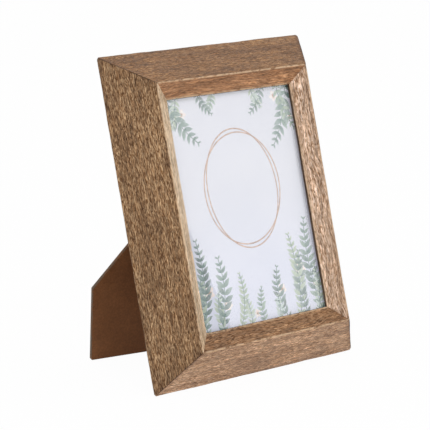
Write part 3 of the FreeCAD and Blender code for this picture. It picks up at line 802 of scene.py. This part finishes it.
def moulding_tree():
    """Cuts a blank to length and mitres, sands its faces a little uneven and chips its edges."""
    nodes = Growth("moulding", ("Length", *MOULDING))
    given = nodes.given
    place = nodes.parts(nodes.take("GeometryNodeInputPosition"))
    along = nodes.math("ABSOLUTE", place["X"])
    full = nodes.minus(nodes.times(given["Length"], 0.5), given["Mitre Gap"])
    # How far the corner's rounding pulls the outer edge in at this place along the rail
    run = nodes.times(along, nodes.minus(full, place["Z"]))
    past = nodes.math("DIVIDE", nodes.minus(run, nodes.minus(full, given["Corner Round"])),
                      given["Corner Round"])
    past = nodes.math("MAXIMUM", past, 0.0)
    left = nodes.math("MAXIMUM", nodes.minus(1.0, nodes.times(past, past)), 0.0)
    fade = nodes.between(place["Z"], 0.0, given["Corner Reach"], 1.0, 0.0)
    pull = nodes.times(nodes.minus(1.0, nodes.math("SQRT", left)),
                       nodes.times(given["Corner Round"], fade))
    inset = nodes.plus(place["Z"], pull)
    half = nodes.minus(full, inset)
    cut = nodes.combined(nodes.times(place["X"], half), place["Y"], inset)
    shape = nodes.store(given["Geometry"], "from_mitre",
                        nodes.times(half, nodes.minus(1.0, along)))
    shape = nodes.take("GeometryNodeSetPosition", geometry=shape, position=cut)

    seeded = nodes.moved_by(nodes.take("GeometryNodeInputPosition"),
                            nodes.scaled((CUT_APART, 0.0, 0.0), given["Seed"]))
    shape = nodes.store(shape, "grain_place", nodes.scaled(seeded, MM), kind="FLOAT_VECTOR")

    inner, from_mitre, edge = (nodes.named(n) for n in ("inner_face", "from_mitre", "rubbed"))
    groove = nodes.times(nodes.mixed(inner, 1.0, INNER_GROOVE),
                         nodes.between(from_mitre, 0.0, given["Groove Width"], 1.0, 0.0))
    sanding = nodes.noise(nodes.stretched(seeded, SANDING_WAVES))
    nick = nodes.noise(nodes.stretched(seeded, NICK_WAVES))
    chip = nodes.times(nodes.between(nick, 0.60, 0.72), edge)
    loss = nodes.plus(nodes.times(groove, given["Groove Depth"]),
                      nodes.times(chip, given["Chip Depth"]))
    # The inner faces are sanded level with each other where they meet
    level = nodes.mixed(inner, 1.0, nodes.between(from_mitre, 0.0, given["Level Reach"]))
    wave = nodes.times(given["Waviness"], nodes.between(sanding, 0.25, 0.75))
    loss = nodes.plus(loss, nodes.times(wave, level))
    inward = nodes.scaled(nodes.take("GeometryNodeInputNormal"), nodes.times(loss, -1.0))
    shape = nodes.store(shape, "seam", groove)
    stain = nodes.between(from_mitre, 0.0, given["Stain Reach"], 1.0, 0.0)
    stain = nodes.times(stain, nodes.mixed(inner, 1.0, INNER_STAIN))
    shape = nodes.store(shape, "near_mitre", stain)
    worn = nodes.math("MAXIMUM", nodes.times(edge, EDGE_WEAR), chip)
    shape = nodes.store(shape, "rubbed", worn)
    return nodes.closed(nodes.take("GeometryNodeSetPosition", geometry=shape, offset=inward))


def make_rails():
    """The four mitred rails of the moulding."""
    blank, tree = rail_blank(), moulding_tree()
    for seed, (name, (length, across, height, turn)) in enumerate(RAIL_PLACES.items(), start=1):
        wood = mango_wood(f"mango_{name}", *RAIL_TONES_WITH_PAINTED_LIGHT[name])
        mesh = grow(name + "_wood", blank.copy(), tree,
                    {**MOULDING, "Length": length, "Seed": seed, "Material": wood})
        new_piece(name + "_wood", mesh, STAND @ moved(across, 0, height) @ turned("Y", turn),
                  wood, "frame", "mango_wood", name)


# The print behind the glass

# Each frond: where it starts on the sheet, its heading, length, bend, leaf length and tint
FRONDS = (
    (-61, -92, 76, 74, 16, 9, 0.10), (-55, -92, 98, 50, -18, 8, 0.55),
    (-46, -92, 68, 60, 22, 10, 0.22), (-38, -92, 106, 34, -24, 7, 0.88),
    (-27, -92, 64, 46, 26, 7, 0.66), (-13, -92, 86, 25, 14, 6, 0.85),
    (2, -92, 101, 31, -20, 6, 0.42), (14, -92, 74, 22, 18, 6, 0.92),
    (27, -92, 113, 45, -26, 8, 0.14), (36, -92, 82, 66, 14, 9, 0.70),
    (45, -92, 99, 52, -16, 9, 0.08), (53, -92, 70, 40, 24, 7, 0.90),
    (61, -92, 102, 76, -14, 10, 0.30),
    (-60, 92, -70, 48, 22, 10, 0.24), (-50, 92, -101, 33, -20, 7, 0.82),
    (-30, 92, -72, 24, 24, 6, 0.12), (-14, 92, -102, 19, -20, 6, 0.62),
    (23, 92, -77, 22, 20, 6, 0.86), (36, 92, -113, 29, -22, 7, 0.20),
    (50, 92, -83, 41, 18, 8, 0.58), (60, 92, -105, 55, -16, 10, 0.24),
)
# Each blossom: where it lies and how wide it is
BLOSSOMS = ((-49, -58, 11), (-33, -70, 9), (22, -66, 9), (44, -54, 11), (57, -68, 8),
            (-6, -80, 7), (-47, 74, 9), (46, 79, 9), (59, 62, 7))
# Each copper line: the middle of an oval, its half width and height, and its turn
OVALS = ((0, 14, 34, 45, 4), (0, 14, 37, 42, -5))
OVAL_SIDES = 96
OVAL_WIDTH = 0.95
STEM_WIDTH = 0.7
STEM_TAPER = 0.7
STEM_TINT = 0.3
LEAF_LAYER = 0.012
LEAF_SPACING = 0.52
LEAF_SPLAY = 0.85
# A leaf is as long as the sine of an angle: the angle at the stem's foot, and its growth from there
LEAF_SWELL = (0.55, 2.25)
HEADING_STRAY = 0.16
TINT_STRAY = 0.13
PRINT_CORNER = 0.4
PRINT_EDGE = 0.04
# The sheet lies a little behind the part's print, which leaves room for the ink on it
INK_ROOM = 0.08
INK_THICKNESS = 0.01
PRINT_LIFTS = {"ferns": 0.020, "stems": 0.016, "blossoms": 0.036, "ovals": 0.010}


def leaf_shape(name, petals=1, tip=1.0, width=0.40, steps=7):
    """A flat pointed leaf of length one along X, or a ring of petals about its middle."""
    points, reaches, faces = [], [], []
    for petal in range(petals):
        turn = Matrix.Rotation(math.tau * petal / petals, 2)
        first = len(points)
        for s in range(steps + 1):
            share = s / steps
            half = width * math.sin(math.pi * share ** 0.8) ** tip / 2
            for side in (-1, 1):
                spot = turn @ Vector((share, side * half))
                points.append((spot.x, spot.y, 0.0))
                reaches.append(share)
        for s in range(steps):
            a = first + 2 * s
            faces.append((a, a + 2, a + 3, a + 1))
    mesh = bare_mesh(name, points, faces=faces)
    set_values(mesh, "leaf_reach", reaches)
    return mesh


def polylines(name, lines, closed=False):
    """A mesh of bare edges, one chain for each line."""
    points, edges = [], []
    for line in lines:
        first = len(points)
        points.extend((x, y, 0.0) for x, y in line)
        edges.extend((first + k, first + k + 1) for k in range(len(line) - 1))
        if closed:
            edges.append((len(points) - 1, first))
    return bare_mesh(name, points, edges)


def frond_line(x, y, heading, length, bend, steps=14):
    """The points of a stem that bends evenly, and has its heading a fifth of the way along."""
    line = [(x, y)]
    for s in range(steps):
        angle = math.radians(heading + bend * (s / steps - 0.2) * 2)
        x += math.cos(angle) * length / steps
        y += math.sin(angle) * length / steps
        line.append((x, y))
    return line


def frond_tree():
    """Sets leaves in pairs along each stem, longest in the middle, each with its own tint."""
    nodes = Growth("frond", ("Leaf Length", "Leaf Spacing", "Splay", "Layer", "Tint"), "Leaf")
    given = nodes.given
    stems = nodes.take("GeometryNodeMeshToCurve", mesh=given["Geometry"])
    knots = nodes.add("GeometryNodeResampleCurve", {"Curve": stems, "Length": given["Leaf Spacing"]},
                      mode="LENGTH").outputs[0]
    tangent = nodes.parts(nodes.take("GeometryNodeInputTangent"))
    heading = nodes.math("ARCTAN2", tangent["Y"], tangent["X"])
    share = nodes.take("GeometryNodeSplineParameter", "Factor")
    foot, growth = LEAF_SWELL
    swell = nodes.math("SINE", nodes.plus(foot, nodes.times(share, growth)))
    length = nodes.times(given["Leaf Length"], swell)
    size = nodes.combined(length, length, 1.0)
    leaf = nodes.take("GeometryNodeObjectInfo", "Geometry", object=given["Leaf"])
    number = nodes.take("GeometryNodeInputIndex")
    both = nodes.add("GeometryNodeJoinGeometry")
    for side, first_number in ((-1.0, 0.0), (1.0, 1000.0)):
        stray = nodes.chance(-HEADING_STRAY, HEADING_STRAY, nodes.plus(number, first_number))
        angle = nodes.plus(nodes.plus(heading, stray), nodes.times(given["Splay"], side))
        nodes.feed(both.inputs[0], nodes.copies(knots, leaf, nodes.combined(z=angle), size))
    tint = nodes.math("ADD", given["Tint"], nodes.chance(-TINT_STRAY, TINT_STRAY), clamp=True)
    tinted = nodes.store(both.outputs[0], "tint", tint, "INSTANCE")
    return nodes.closed(nodes.layered(tinted))


def ribbon_tree():
    """Draws a thin flat line along each chain of edges, finer towards its end."""
    nodes = Growth("ribbon", ("Width", "Thickness", "Taper"))
    given = nodes.given
    curve = nodes.take("GeometryNodeMeshToCurve", mesh=given["Geometry"])
    share = nodes.take("GeometryNodeSplineParameter", "Factor")
    thin = nodes.minus(1.0, nodes.times(share, given["Taper"]))
    curve = nodes.take("GeometryNodeSetCurveRadius", curve=curve, radius=thin)
    line = nodes.take("GeometryNodeCurvePrimitiveCircle", resolution=6,
                      radius=nodes.times(given["Width"], 0.5))
    tube = nodes.take("GeometryNodeCurveToMesh", curve=curve, profile_curve=line, fill_caps=True)
    squash = nodes.combined(1.0, 1.0, nodes.math("DIVIDE", given["Thickness"], given["Width"]))
    flat = nodes.stretched(nodes.take("GeometryNodeInputPosition"), squash)
    return nodes.closed(nodes.take("GeometryNodeSetPosition", geometry=tube, position=flat))


def scatter_tree():
    """Sets a copy of an object at each point, as wide as the point says and turned at random."""
    nodes = Growth("scatter", ("Layer",), "Shape")
    shape = nodes.take("GeometryNodeObjectInfo", "Geometry", object=nodes.given["Shape"])
    wide = nodes.named("width")
    turn = nodes.combined(z=nodes.chance(0.0, math.tau))
    size = nodes.combined(wide, wide, 1.0)
    return nodes.closed(nodes.layered(nodes.copies(nodes.given["Geometry"], shape, turn, size)))


def hidden_shape(name, mesh):
    """An object that a tree takes copies of, kept out of the scene."""
    return bpy.data.objects.new(name, mesh)


def inked(what, mesh, material):
    """Lay a flat printed drawing on the sheet."""
    new_piece("print_" + what, mesh, DRAWING @ moved(0, 0, -PRINT_LIFTS[what]), material,
              "frame", "print_paper", crease=None)


def make_print():
    """The sheet behind the glass: a generic fern border with blossoms and two copper ovals."""
    middle = OUTER_HEIGHT / 2
    corners = rectangle(-PRINT_WIDTH / 2, middle - PRINT_HEIGHT / 2, PRINT_WIDTH / 2,
                        middle + PRINT_HEIGHT / 2, PRINT_CORNER, PRINT_CORNER)
    sheet = slab("print_sheet", rounded_outline(corners), INK_ROOM - PRINT_FRONT, -PRINT_BACK,
                 PRINT_EDGE)
    new_piece("print_sheet", sheet, STAND, print_paper(), "frame", "print_paper", "photo_print",
              crease=None)

    greens, copper, blush = leaf_ink(), copper_ink(), blossom_ink()
    fronds, ribbons = frond_tree(), ribbon_tree()
    leaf = hidden_shape("leaf", leaf_shape("leaf"))
    sprigs, stems = [], []
    for seed, (x, y, heading, length, bend, leaf_length, tint) in enumerate(FRONDS, start=1):
        stems.append(frond_line(x, y, heading, length, bend))
        sprigs.append(grow("sprig", polylines("stem", stems[-1:]), fronds,
                           {"Leaf Length": leaf_length, "Leaf Spacing": leaf_length * LEAF_SPACING,
                            "Splay": LEAF_SPLAY, "Layer": LEAF_LAYER, "Tint": tint, "Seed": seed,
                            "Material": greens, "Leaf": leaf}))
    inked("ferns", joined("print_ferns", sprigs), greens)
    lines = grow("print_stems", polylines("stems", stems), ribbons,
                 {"Width": STEM_WIDTH, "Thickness": INK_THICKNESS, "Taper": STEM_TAPER,
                  "Material": greens})
    set_values(lines, "tint", [STEM_TINT] * len(lines.vertices))
    inked("stems", lines, greens)

    spots = bare_mesh("spots", [(x, y, 0.0) for x, y, width in BLOSSOMS])
    set_values(spots, "width", [width / 2 for x, y, width in BLOSSOMS])
    blossom = hidden_shape("blossom", leaf_shape("blossom", petals=5, tip=0.6, width=0.75))
    flowers = grow("print_blossoms", spots, scatter_tree(),
                   {"Layer": LEAF_LAYER, "Seed": 5, "Material": blush, "Shape": blossom})
    inked("blossoms", flowers, blush)

    rings = []
    angles = [math.tau * k / OVAL_SIDES for k in range(OVAL_SIDES)]
    for x, y, wide, high, turn in OVALS:
        tilt = Matrix.Rotation(math.radians(turn), 2)
        rings.append([tuple(Vector((x, y)) + tilt @ Vector((wide * math.cos(a), high * math.sin(a))))
                      for a in angles])
    ovals = grow("print_ovals", polylines("ovals", rings, closed=True), ribbons,
                 {"Width": OVAL_WIDTH, "Thickness": INK_THICKNESS, "Taper": 0.0,
                  "Material": copper})
    inked("ovals", ovals, copper)


# The strut and the back board

KNUCKLE_GAP = 0.3
KNUCKLE_TOP = BARREL + KNUCKLE_GAP
STRUT_NECK = 19.0
STRUT_OUTLINE = (
    # along the hinge, away from it, rounding
    (-STRUT_NECK, -KNUCKLE_TOP, 0.6), (-STRUT_NECK, -115.2, 6.0), (-34.5, -157.7, 1.4),
    (-9.0, -213.6, 1.4), (45.66, -194.2, 1.4), (STRUT_NECK, -121.4, 6.0),
    (STRUT_NECK, -KNUCKLE_TOP, 0.6),
)
STRUT_SPACING = 6.0
STRUT_THICKNESS = 3.0
STRUT_BACK = BORE
STRUT_FRONT = STRUT_BACK - STRUT_THICKNESS
STRUT_EDGE = 0.35
BOARD_EDGE = 0.3


def make_boards():
    """The easel strut and the back board, with softened edges."""
    outline = rounded_outline(STRUT_OUTLINE, spacing=STRUT_SPACING)
    strut = slab("easel_strut_board", outline, STRUT_FRONT, STRUT_BACK, STRUT_EDGE)
    # Only its sawn sides are bare, between the front and the back
    set_values(strut, "rubbed", [float(STRUT_FRONT + 0.001 < p.co.y < STRUT_BACK - 0.001)
                                 for p in strut.vertices])
    brown = hardboard("strut_hardboard", colour(0.154, 0.060, 0.020), colour(0.198, 0.082, 0.031))
    new_piece("easel_strut_board", strut, STRUT, brown, "strut", "strut_hardboard", "easel_strut")

    low = (OUTER_HEIGHT - BOARD_HEIGHT) / 2
    corners = rectangle(-BOARD_WIDTH / 2, low, BOARD_WIDTH / 2, low + BOARD_HEIGHT,
                        BOARD_CORNER, BOARD_CORNER)
    board = slab("back_board_panel", rounded_outline(corners), -BOARD_THICKNESS, 0.0, BOARD_EDGE)
    brown = hardboard("brown_hardboard", colour(0.110, 0.044, 0.018), colour(0.146, 0.062, 0.028))
    new_piece("back_board_panel", board, STAND, brown, "frame", "brown_hardboard", "back_board")


# The hinge, the turn buttons and the fastenings

SHEET_EDGE = 0.12
# The radius of the knuckles' sheet about the pin, at the middle of its thickness, and the angles
# of its steps and of its ends
ROLL = BORE + SHEET / 2
ROLL_STEP = 15
BOARD_ROLL_END = 285
STRUT_ROLL_END = 315
# The strut's one knuckle ends inside, and the board's two begin outside
INNER_KNUCKLE = 4.8
OUTER_KNUCKLE = INNER_KNUCKLE + KNUCKLE_GAP
LEAF_ROUND = 3.0
# From here outwards a leaf's columns are drawn in to follow its round corners
LEAF_SQUARE = LEAF_HALF_WIDTH - LEAF_ROUND - 1.0
RIGHT_COLUMNS = (2.4, INNER_KNUCKLE, OUTER_KNUCKLE, 7.0, 9.0, 11.0, 12.5, LEAF_HALF_WIDTH)
LEAF_COLUMNS = (*(-x for x in reversed(RIGHT_COLUMNS)), 0.0, *RIGHT_COLUMNS)
LEAF_ROUND_STEPS = (0.0, 0.1, 0.4, 0.9, 1.5, 2.2, LEAF_ROUND)
BOARD_LEAF_DEPTH = SHEET / 2 - HINGE_DEPTH
BOARD_LEAF_ROWS = (9.5, 7.0, 4.5)
BOARD_NECK_SHARES = (0.25, 0.5, 0.75, 1.0)
STRUT_LEAF_REACH = 24.0
STRUT_LEAF_ROWS = (-17.5, -14.0, -10.5, -7.0, -4.5)
STRUT_NECK_ROWS = (-1.4, -0.7, 0.0)
# The tongue meets the back of the board's leaf, but for a little air
STOP_AIR = 0.03
TONGUE_FLOOR = SHEET + STOP_AIR - HINGE_DEPTH
TONGUE_REACH = 7.0
TONGUE_ROUNDS = (0.2, 1.0)

BUTTON_BOTTOM = 0.05
BUTTON_THICKNESS = 1.2
BUTTON_EDGE = 0.3
BUTTON_LENGTH = 20.0
BUTTON_TAIL = 5.5
BUTTON_HALF_WIDTH = 4.0
BUTTON_ROUND = 3.6
BUTTON_SPACING = 1.5
SHANK = 1.4
SHANK_PLAY = 0.06
BUTTON_INSET = 19.0
BUTTON_SIDE = OUTER_WIDTH / 2 - BUTTON_INSET
BUTTON_DROP = 56.0
# Each button: where its screw is, and its turn
BUTTON_PLACES = {
    "turn_button_bottom": (24.0, BUTTON_INSET, 0),
    "turn_button_right_lower": (BUTTON_SIDE, 62.0, -90),
    "turn_button_right_upper": (BUTTON_SIDE, OUTER_HEIGHT - BUTTON_DROP, -90),
    "turn_button_left_upper": (-BUTTON_SIDE, OUTER_HEIGHT - BUTTON_DROP, 90),
    "turn_button_left_lower": (-BUTTON_SIDE, 125.0, 90),
}

# Profiles of turned pieces: radius and how far out along the axis
SCREW_PROFILE = ((0.30, 3.00), (1.00, 2.95), (1.70, 2.76), (2.25, 2.40), (2.62, 1.92),
                 (2.78, 1.50), (2.72, 1.30), (SHANK, 1.30), (SHANK, -9.40), (0.85, -10.9),
                 (0.12, -11.7))
SCREW_SLOT = {"Slot Width": 0.8, "Slot Depth": 0.7, "Head Top": SCREW_PROFILE[0][1]}
SLOT_LENGTH = 12.0
RIVET_PROFILE = ((0.25, 1.10), (0.95, 1.04), (1.65, 0.86), (2.20, 0.56), (2.58, 0.22),
                 (2.66, 0.00), (1.50, 0.00), (1.50, -3.00), (2.48, -3.00), (2.48, -3.60),
                 (2.30, -3.80))
RIVET_SPREAD = 8.5
PIN_END = ((0.25, 14.75), (0.90, 14.68), (1.38, 14.46), (1.58, 14.25), (1.50, 14.06),
           (1.02, 14.05), (1.00, 13.8))
# Each pair of rivets: how deep it sits, how far from the pin, whose leaf it is on
RIVETS = {
    "hinge_board_rivets": (SHEET - HINGE_DEPTH, 9.0, HINGE, "frame"),
    "hinge_strut_rivets": (BARREL, -14.0, STRUT, "strut"),
}


def rolled_leaf(name, plate, roll, from_x, to_x):
    """A hinge leaf cut flat with round corners and tabs, the tabs rolled round the pin."""
    rows = []
    for reach, (depth, height) in zip(LEAF_ROUND_STEPS, plate):
        short = LEAF_ROUND - math.sqrt(LEAF_ROUND ** 2 - (LEAF_ROUND - reach) ** 2)
        rows.append((depth, height, LEAF_HALF_WIDTH - short))
    rows += [(depth, height, LEAF_HALF_WIDTH) for depth, height in plate[len(rows):] + roll]

    points = []
    for depth, height, half in rows:
        for x in LEAF_COLUMNS:
            past = max(0.0, abs(x) - LEAF_SQUARE) / (LEAF_HALF_WIDTH - LEAF_SQUARE)
            wide = LEAF_SQUARE + past * (half - LEAF_SQUARE) if past else abs(x)
            points.append((math.copysign(wide, x), depth, height))
    columns = len(LEAF_COLUMNS)
    faces = []
    for r in range(len(rows) - 1):
        for k in range(columns - 1):
            middle = abs(LEAF_COLUMNS[k] + LEAF_COLUMNS[k + 1]) / 2
            if r < len(plate) - 1 or from_x < middle < to_x:
                a = r * columns + k
                faces.append((a, a + 1, a + columns + 1, a + columns))
    used = sorted({corner for face in faces for corner in face})
    number = {corner: n for n, corner in enumerate(used)}
    sheet = new_mesh(name, [points[corner] for corner in used],
                     [tuple(number[corner] for corner in face) for face in faces])
    return thickened(name, sheet, SHEET, SHEET_EDGE)


def knuckle(radius, last):
    """The (depth, height) steps of a tab's roll about the pin, as far as the last angle."""
    angles = [math.radians(a) for a in range(ROLL_STEP, last + 1, ROLL_STEP)]
    return [(radius * math.cos(a), radius * math.sin(a)) for a in angles]


def make_hinge():
    """The two leaves with their rolled knuckles, the stop tongue and the pin."""
    zinc = steel("hinge_zinc", colour(0.50, 0.49, 0.46), 0.34)
    heights = [BOARD_LEAF_REACH - step for step in LEAF_ROUND_STEPS]
    plate = [(BOARD_LEAF_DEPTH, height) for height in (*heights, *BOARD_LEAF_ROWS, KNUCKLE_TOP)]
    neck = [(BOARD_LEAF_DEPTH - (BOARD_LEAF_DEPTH + ROLL) * s * s * (3 - 2 * s),
             KNUCKLE_TOP * (1 - s)) for s in BOARD_NECK_SHARES]
    leaf = rolled_leaf("hinge_board_leaf_sheet", plate, neck + knuckle(-ROLL, BOARD_ROLL_END),
                       OUTER_KNUCKLE, LEAF_HALF_WIDTH)
    new_piece("hinge_board_leaf_sheet", leaf, HINGE, zinc, "frame", "hinge_steel",
              "hinge_board_leaf", crease=SHEET_CREASE)

    heights = [step - STRUT_LEAF_REACH for step in LEAF_ROUND_STEPS]
    plate = [(ROLL, height) for height in (*heights, *STRUT_LEAF_ROWS, -KNUCKLE_TOP)]
    neck = [(ROLL, height) for height in STRUT_NECK_ROWS]
    leaf = rolled_leaf("hinge_strut_leaf_sheet", plate, neck + knuckle(ROLL, STRUT_ROLL_END),
                       0.0, INNER_KNUCKLE)
    corners = rectangle(-INNER_KNUCKLE, ROLL, INNER_KNUCKLE, TONGUE_REACH, *TONGUE_ROUNDS)
    tongue = slab("tongue", rounded_outline(corners), TONGUE_FLOOR, TONGUE_FLOOR + SHEET,
                  SHEET_EDGE)
    # The tongue is drawn as it meets the other leaf, with the strut open
    tongue.transform(turned("X", -STRUT_OPENING))
    leaf = joined("hinge_strut_leaf_sheet", (leaf, tongue))
    new_piece("hinge_strut_leaf_sheet", leaf, STRUT, zinc, "strut", "hinge_steel",
              "hinge_strut_leaf", crease=SHEET_CREASE)

    profile = PIN_END + tuple((radius, -out) for radius, out in reversed(PIN_END))
    wire = steel("pin_wire", colour(0.42, 0.41, 0.40), 0.30)
    new_piece("hinge_pin_wire", turned_shape("hinge_pin_wire", profile, 24),
              HINGE @ turned("Z", 90), wire, "frame", "pin_steel", "hinge_pin")


def make_buttons():
    """The five pressed turn buttons, each on its own screw."""
    zinc = steel("button_zinc", colour(0.52, 0.51, 0.48), 0.32)
    corners = rectangle(-BUTTON_HALF_WIDTH, -BUTTON_TAIL, BUTTON_HALF_WIDTH,
                        BUTTON_LENGTH - BUTTON_TAIL, BUTTON_ROUND, BUTTON_ROUND)
    outline = rounded_outline(corners, 10, BUTTON_SPACING)
    for name, (across, up, turn) in BUTTON_PLACES.items():
        button = slab(name + "_plate", outline, BUTTON_BOTTOM, BUTTON_BOTTOM + BUTTON_THICKNESS,
                      BUTTON_EDGE, SHANK + SHANK_PLAY)
        new_piece(name + "_plate", button, STAND @ moved(across, 0, up) @ turned("Y", turn), zinc,
                  name.replace("turn_", ""), "button_steel", name, crease=SHEET_CREASE)


def fastening_tree(name, slot=()):
    """Sets a turned fastening at each point, spun at random about its own axis, Y."""
    nodes = Growth(name, slot, "Fastening")
    given = nodes.given
    shape = nodes.take("GeometryNodeObjectInfo", "Geometry", object=given["Fastening"])
    if slot:
        size = nodes.combined(SLOT_LENGTH, nodes.times(given["Slot Depth"], 2.0),
                              given["Slot Width"])
        blade = nodes.take("GeometryNodeTransform", geometry=nodes.take(
            "GeometryNodeMeshCube", size=size), translation=nodes.combined(y=given["Head Top"]))
        shape = nodes.add("GeometryNodeMeshBoolean", {"Mesh 1": shape, "Mesh 2": blade},
                          operation="DIFFERENCE").outputs["Mesh"]
    spin = nodes.combined(y=nodes.chance(0.0, math.tau))
    return nodes.closed(nodes.copies(given["Geometry"], shape, spin))


def make_fastenings():
    """The buttons' slotted screws and the hinge's rivets."""
    zinc = steel("screw_zinc", colour(0.50, 0.49, 0.46), 0.28)
    screw = hidden_shape("screw", turned_shape("screw", SCREW_PROFILE))
    spots = bare_mesh("screw_spots", [(x, 0.0, z) for x, z, turn in BUTTON_PLACES.values()])
    screws = grow("button_screws", spots, fastening_tree("slotted_screw", SCREW_SLOT),
                  {**SCREW_SLOT, "Seed": 4, "Material": zinc, "Fastening": screw})
    new_piece("button_screws", screws, STAND, zinc, "frame", "screw_steel", "turn_button_screws")

    plain = fastening_tree("rivet")
    zinc = steel("rivet_zinc", colour(0.48, 0.47, 0.45), 0.30)
    rivet = hidden_shape("rivet", turned_shape("rivet", RIVET_PROFILE))
    for seed, (name, (seat, up, place, body)) in enumerate(RIVETS.items()):
        spots = bare_mesh(name + "_spots", [(x, seat, up) for x in (-RIVET_SPREAD, RIVET_SPREAD)])
        rivets = grow(name + "_domed", spots, plain,
                      {"Seed": seed, "Material": zinc, "Fastening": rivet})
        new_piece(name + "_domed", rivets, place, zinc, body, "rivet_steel", name)


# The floor, the lamps and the camera

FLOOR_REACH = 9.0
FLOOR_DROP = 0.0003
FLOOR_WHITE_SHARE = 0.97
SKY_STRENGTH = 0.72
LAMPS = (
    # name, place, width, height, power
    ("key", (-1.3, -2.0, 1.9), 1.6, 1.2, 24.0),
    ("fill", (2.2, -1.6, 1.0), 1.5, 1.5, 10.0),
)
AIM = Vector((0.0, 0.0, 0.12))
CAMERA_PLACE = Vector((-1.12512, -1.27491, 0.46702))
CAMERA_RIGHT = Vector((0.750554, -0.660810, 0.0))
CAMERA_DOWN = Vector((-0.134186, -0.152409, -0.979166))
CAMERA_AHEAD = Vector((0.647042, 0.734916, -0.203063))
LENS = 192.0
SENSOR = 36.0


def pale_floor():
    """A white sweep that keeps the object's shadow and lights it as pale paper would."""
    nodes = Finish("pale_floor")
    nodes.set_plain(base_color=colour(0.90, 0.90, 0.90), roughness=0.9)
    white = nodes.add("ShaderNodeEmission", {"Color": colour(1, 1, 1), "Strength": 1.0})
    return nodes.mixed_with(nodes.times(nodes.seen(), FLOOR_WHITE_SHARE), white)


def make_stage():
    """A wide pale floor under an even white sky, with two soft lamps."""
    corners = [(x * FLOOR_REACH, y * FLOOR_REACH, -FLOOR_DROP)
               for x, y in ((-1, -1), (1, -1), (1, 1), (-1, 1))]
    floor = in_scene("floor", bare_mesh("floor", corners, faces=[(0, 1, 2, 3)]))
    floor.data.materials.append(pale_floor())

    world = bpy.data.worlds.new("white_sky")
    world.use_nodes = True
    nodes = Nodes(world.node_tree)
    sky = world.node_tree.nodes["Background"]
    sky.inputs["Color"].default_value = colour(1, 1, 1)
    strength = nodes.math("MULTIPLY_ADD", nodes.seen(), 1.0 - SKY_STRENGTH, SKY_STRENGTH)
    nodes.feed(sky.inputs["Strength"], strength)
    bpy.context.scene.world = world

    for name, place, width, height, power in LAMPS:
        lamp = bpy.data.lights.new(name, "AREA")
        lamp.shape = "RECTANGLE"
        lamp.size, lamp.size_y = width, height
        lamp.energy = power
        holder = in_scene(name, lamp)
        holder.location = place
        holder.rotation_euler = (AIM - Vector(place)).to_track_quat("-Z", "Y").to_euler()


def make_camera():
    """The camera that was fitted to the frame's corners in the photo."""
    lens = bpy.data.cameras.new("camera")
    lens.lens, lens.sensor_width = LENS, SENSOR
    camera = in_scene("camera", lens)
    axes = Matrix((CAMERA_RIGHT, -CAMERA_DOWN, -CAMERA_AHEAD)).transposed()
    camera.matrix_world = Matrix.Translation(CAMERA_PLACE) @ axes.to_4x4()
    bpy.context.scene.camera = camera


def dress(node, material):
    """Give a piece that stays as the part has it a finished material."""
    materials = frame["nodes"][node].data.materials
    materials.clear()
    materials.append(material)


make_camera()
make_stage()
make_rails()
make_print()
make_boards()
make_hinge()
make_buttons()
make_fastenings()
dress("corner_nails", steel("nail_strip", colour(0.40, 0.39, 0.37), 0.40))
dress("glass_pane", clear_glass())
dress("backing_card", grey_card())
pine = pine_strip()
for strip in ("spacer_top", "spacer_bottom", "spacer_left", "spacer_right"):
    dress(strip, pine)

bpy.context.scene.view_settings.view_transform = "Standard"
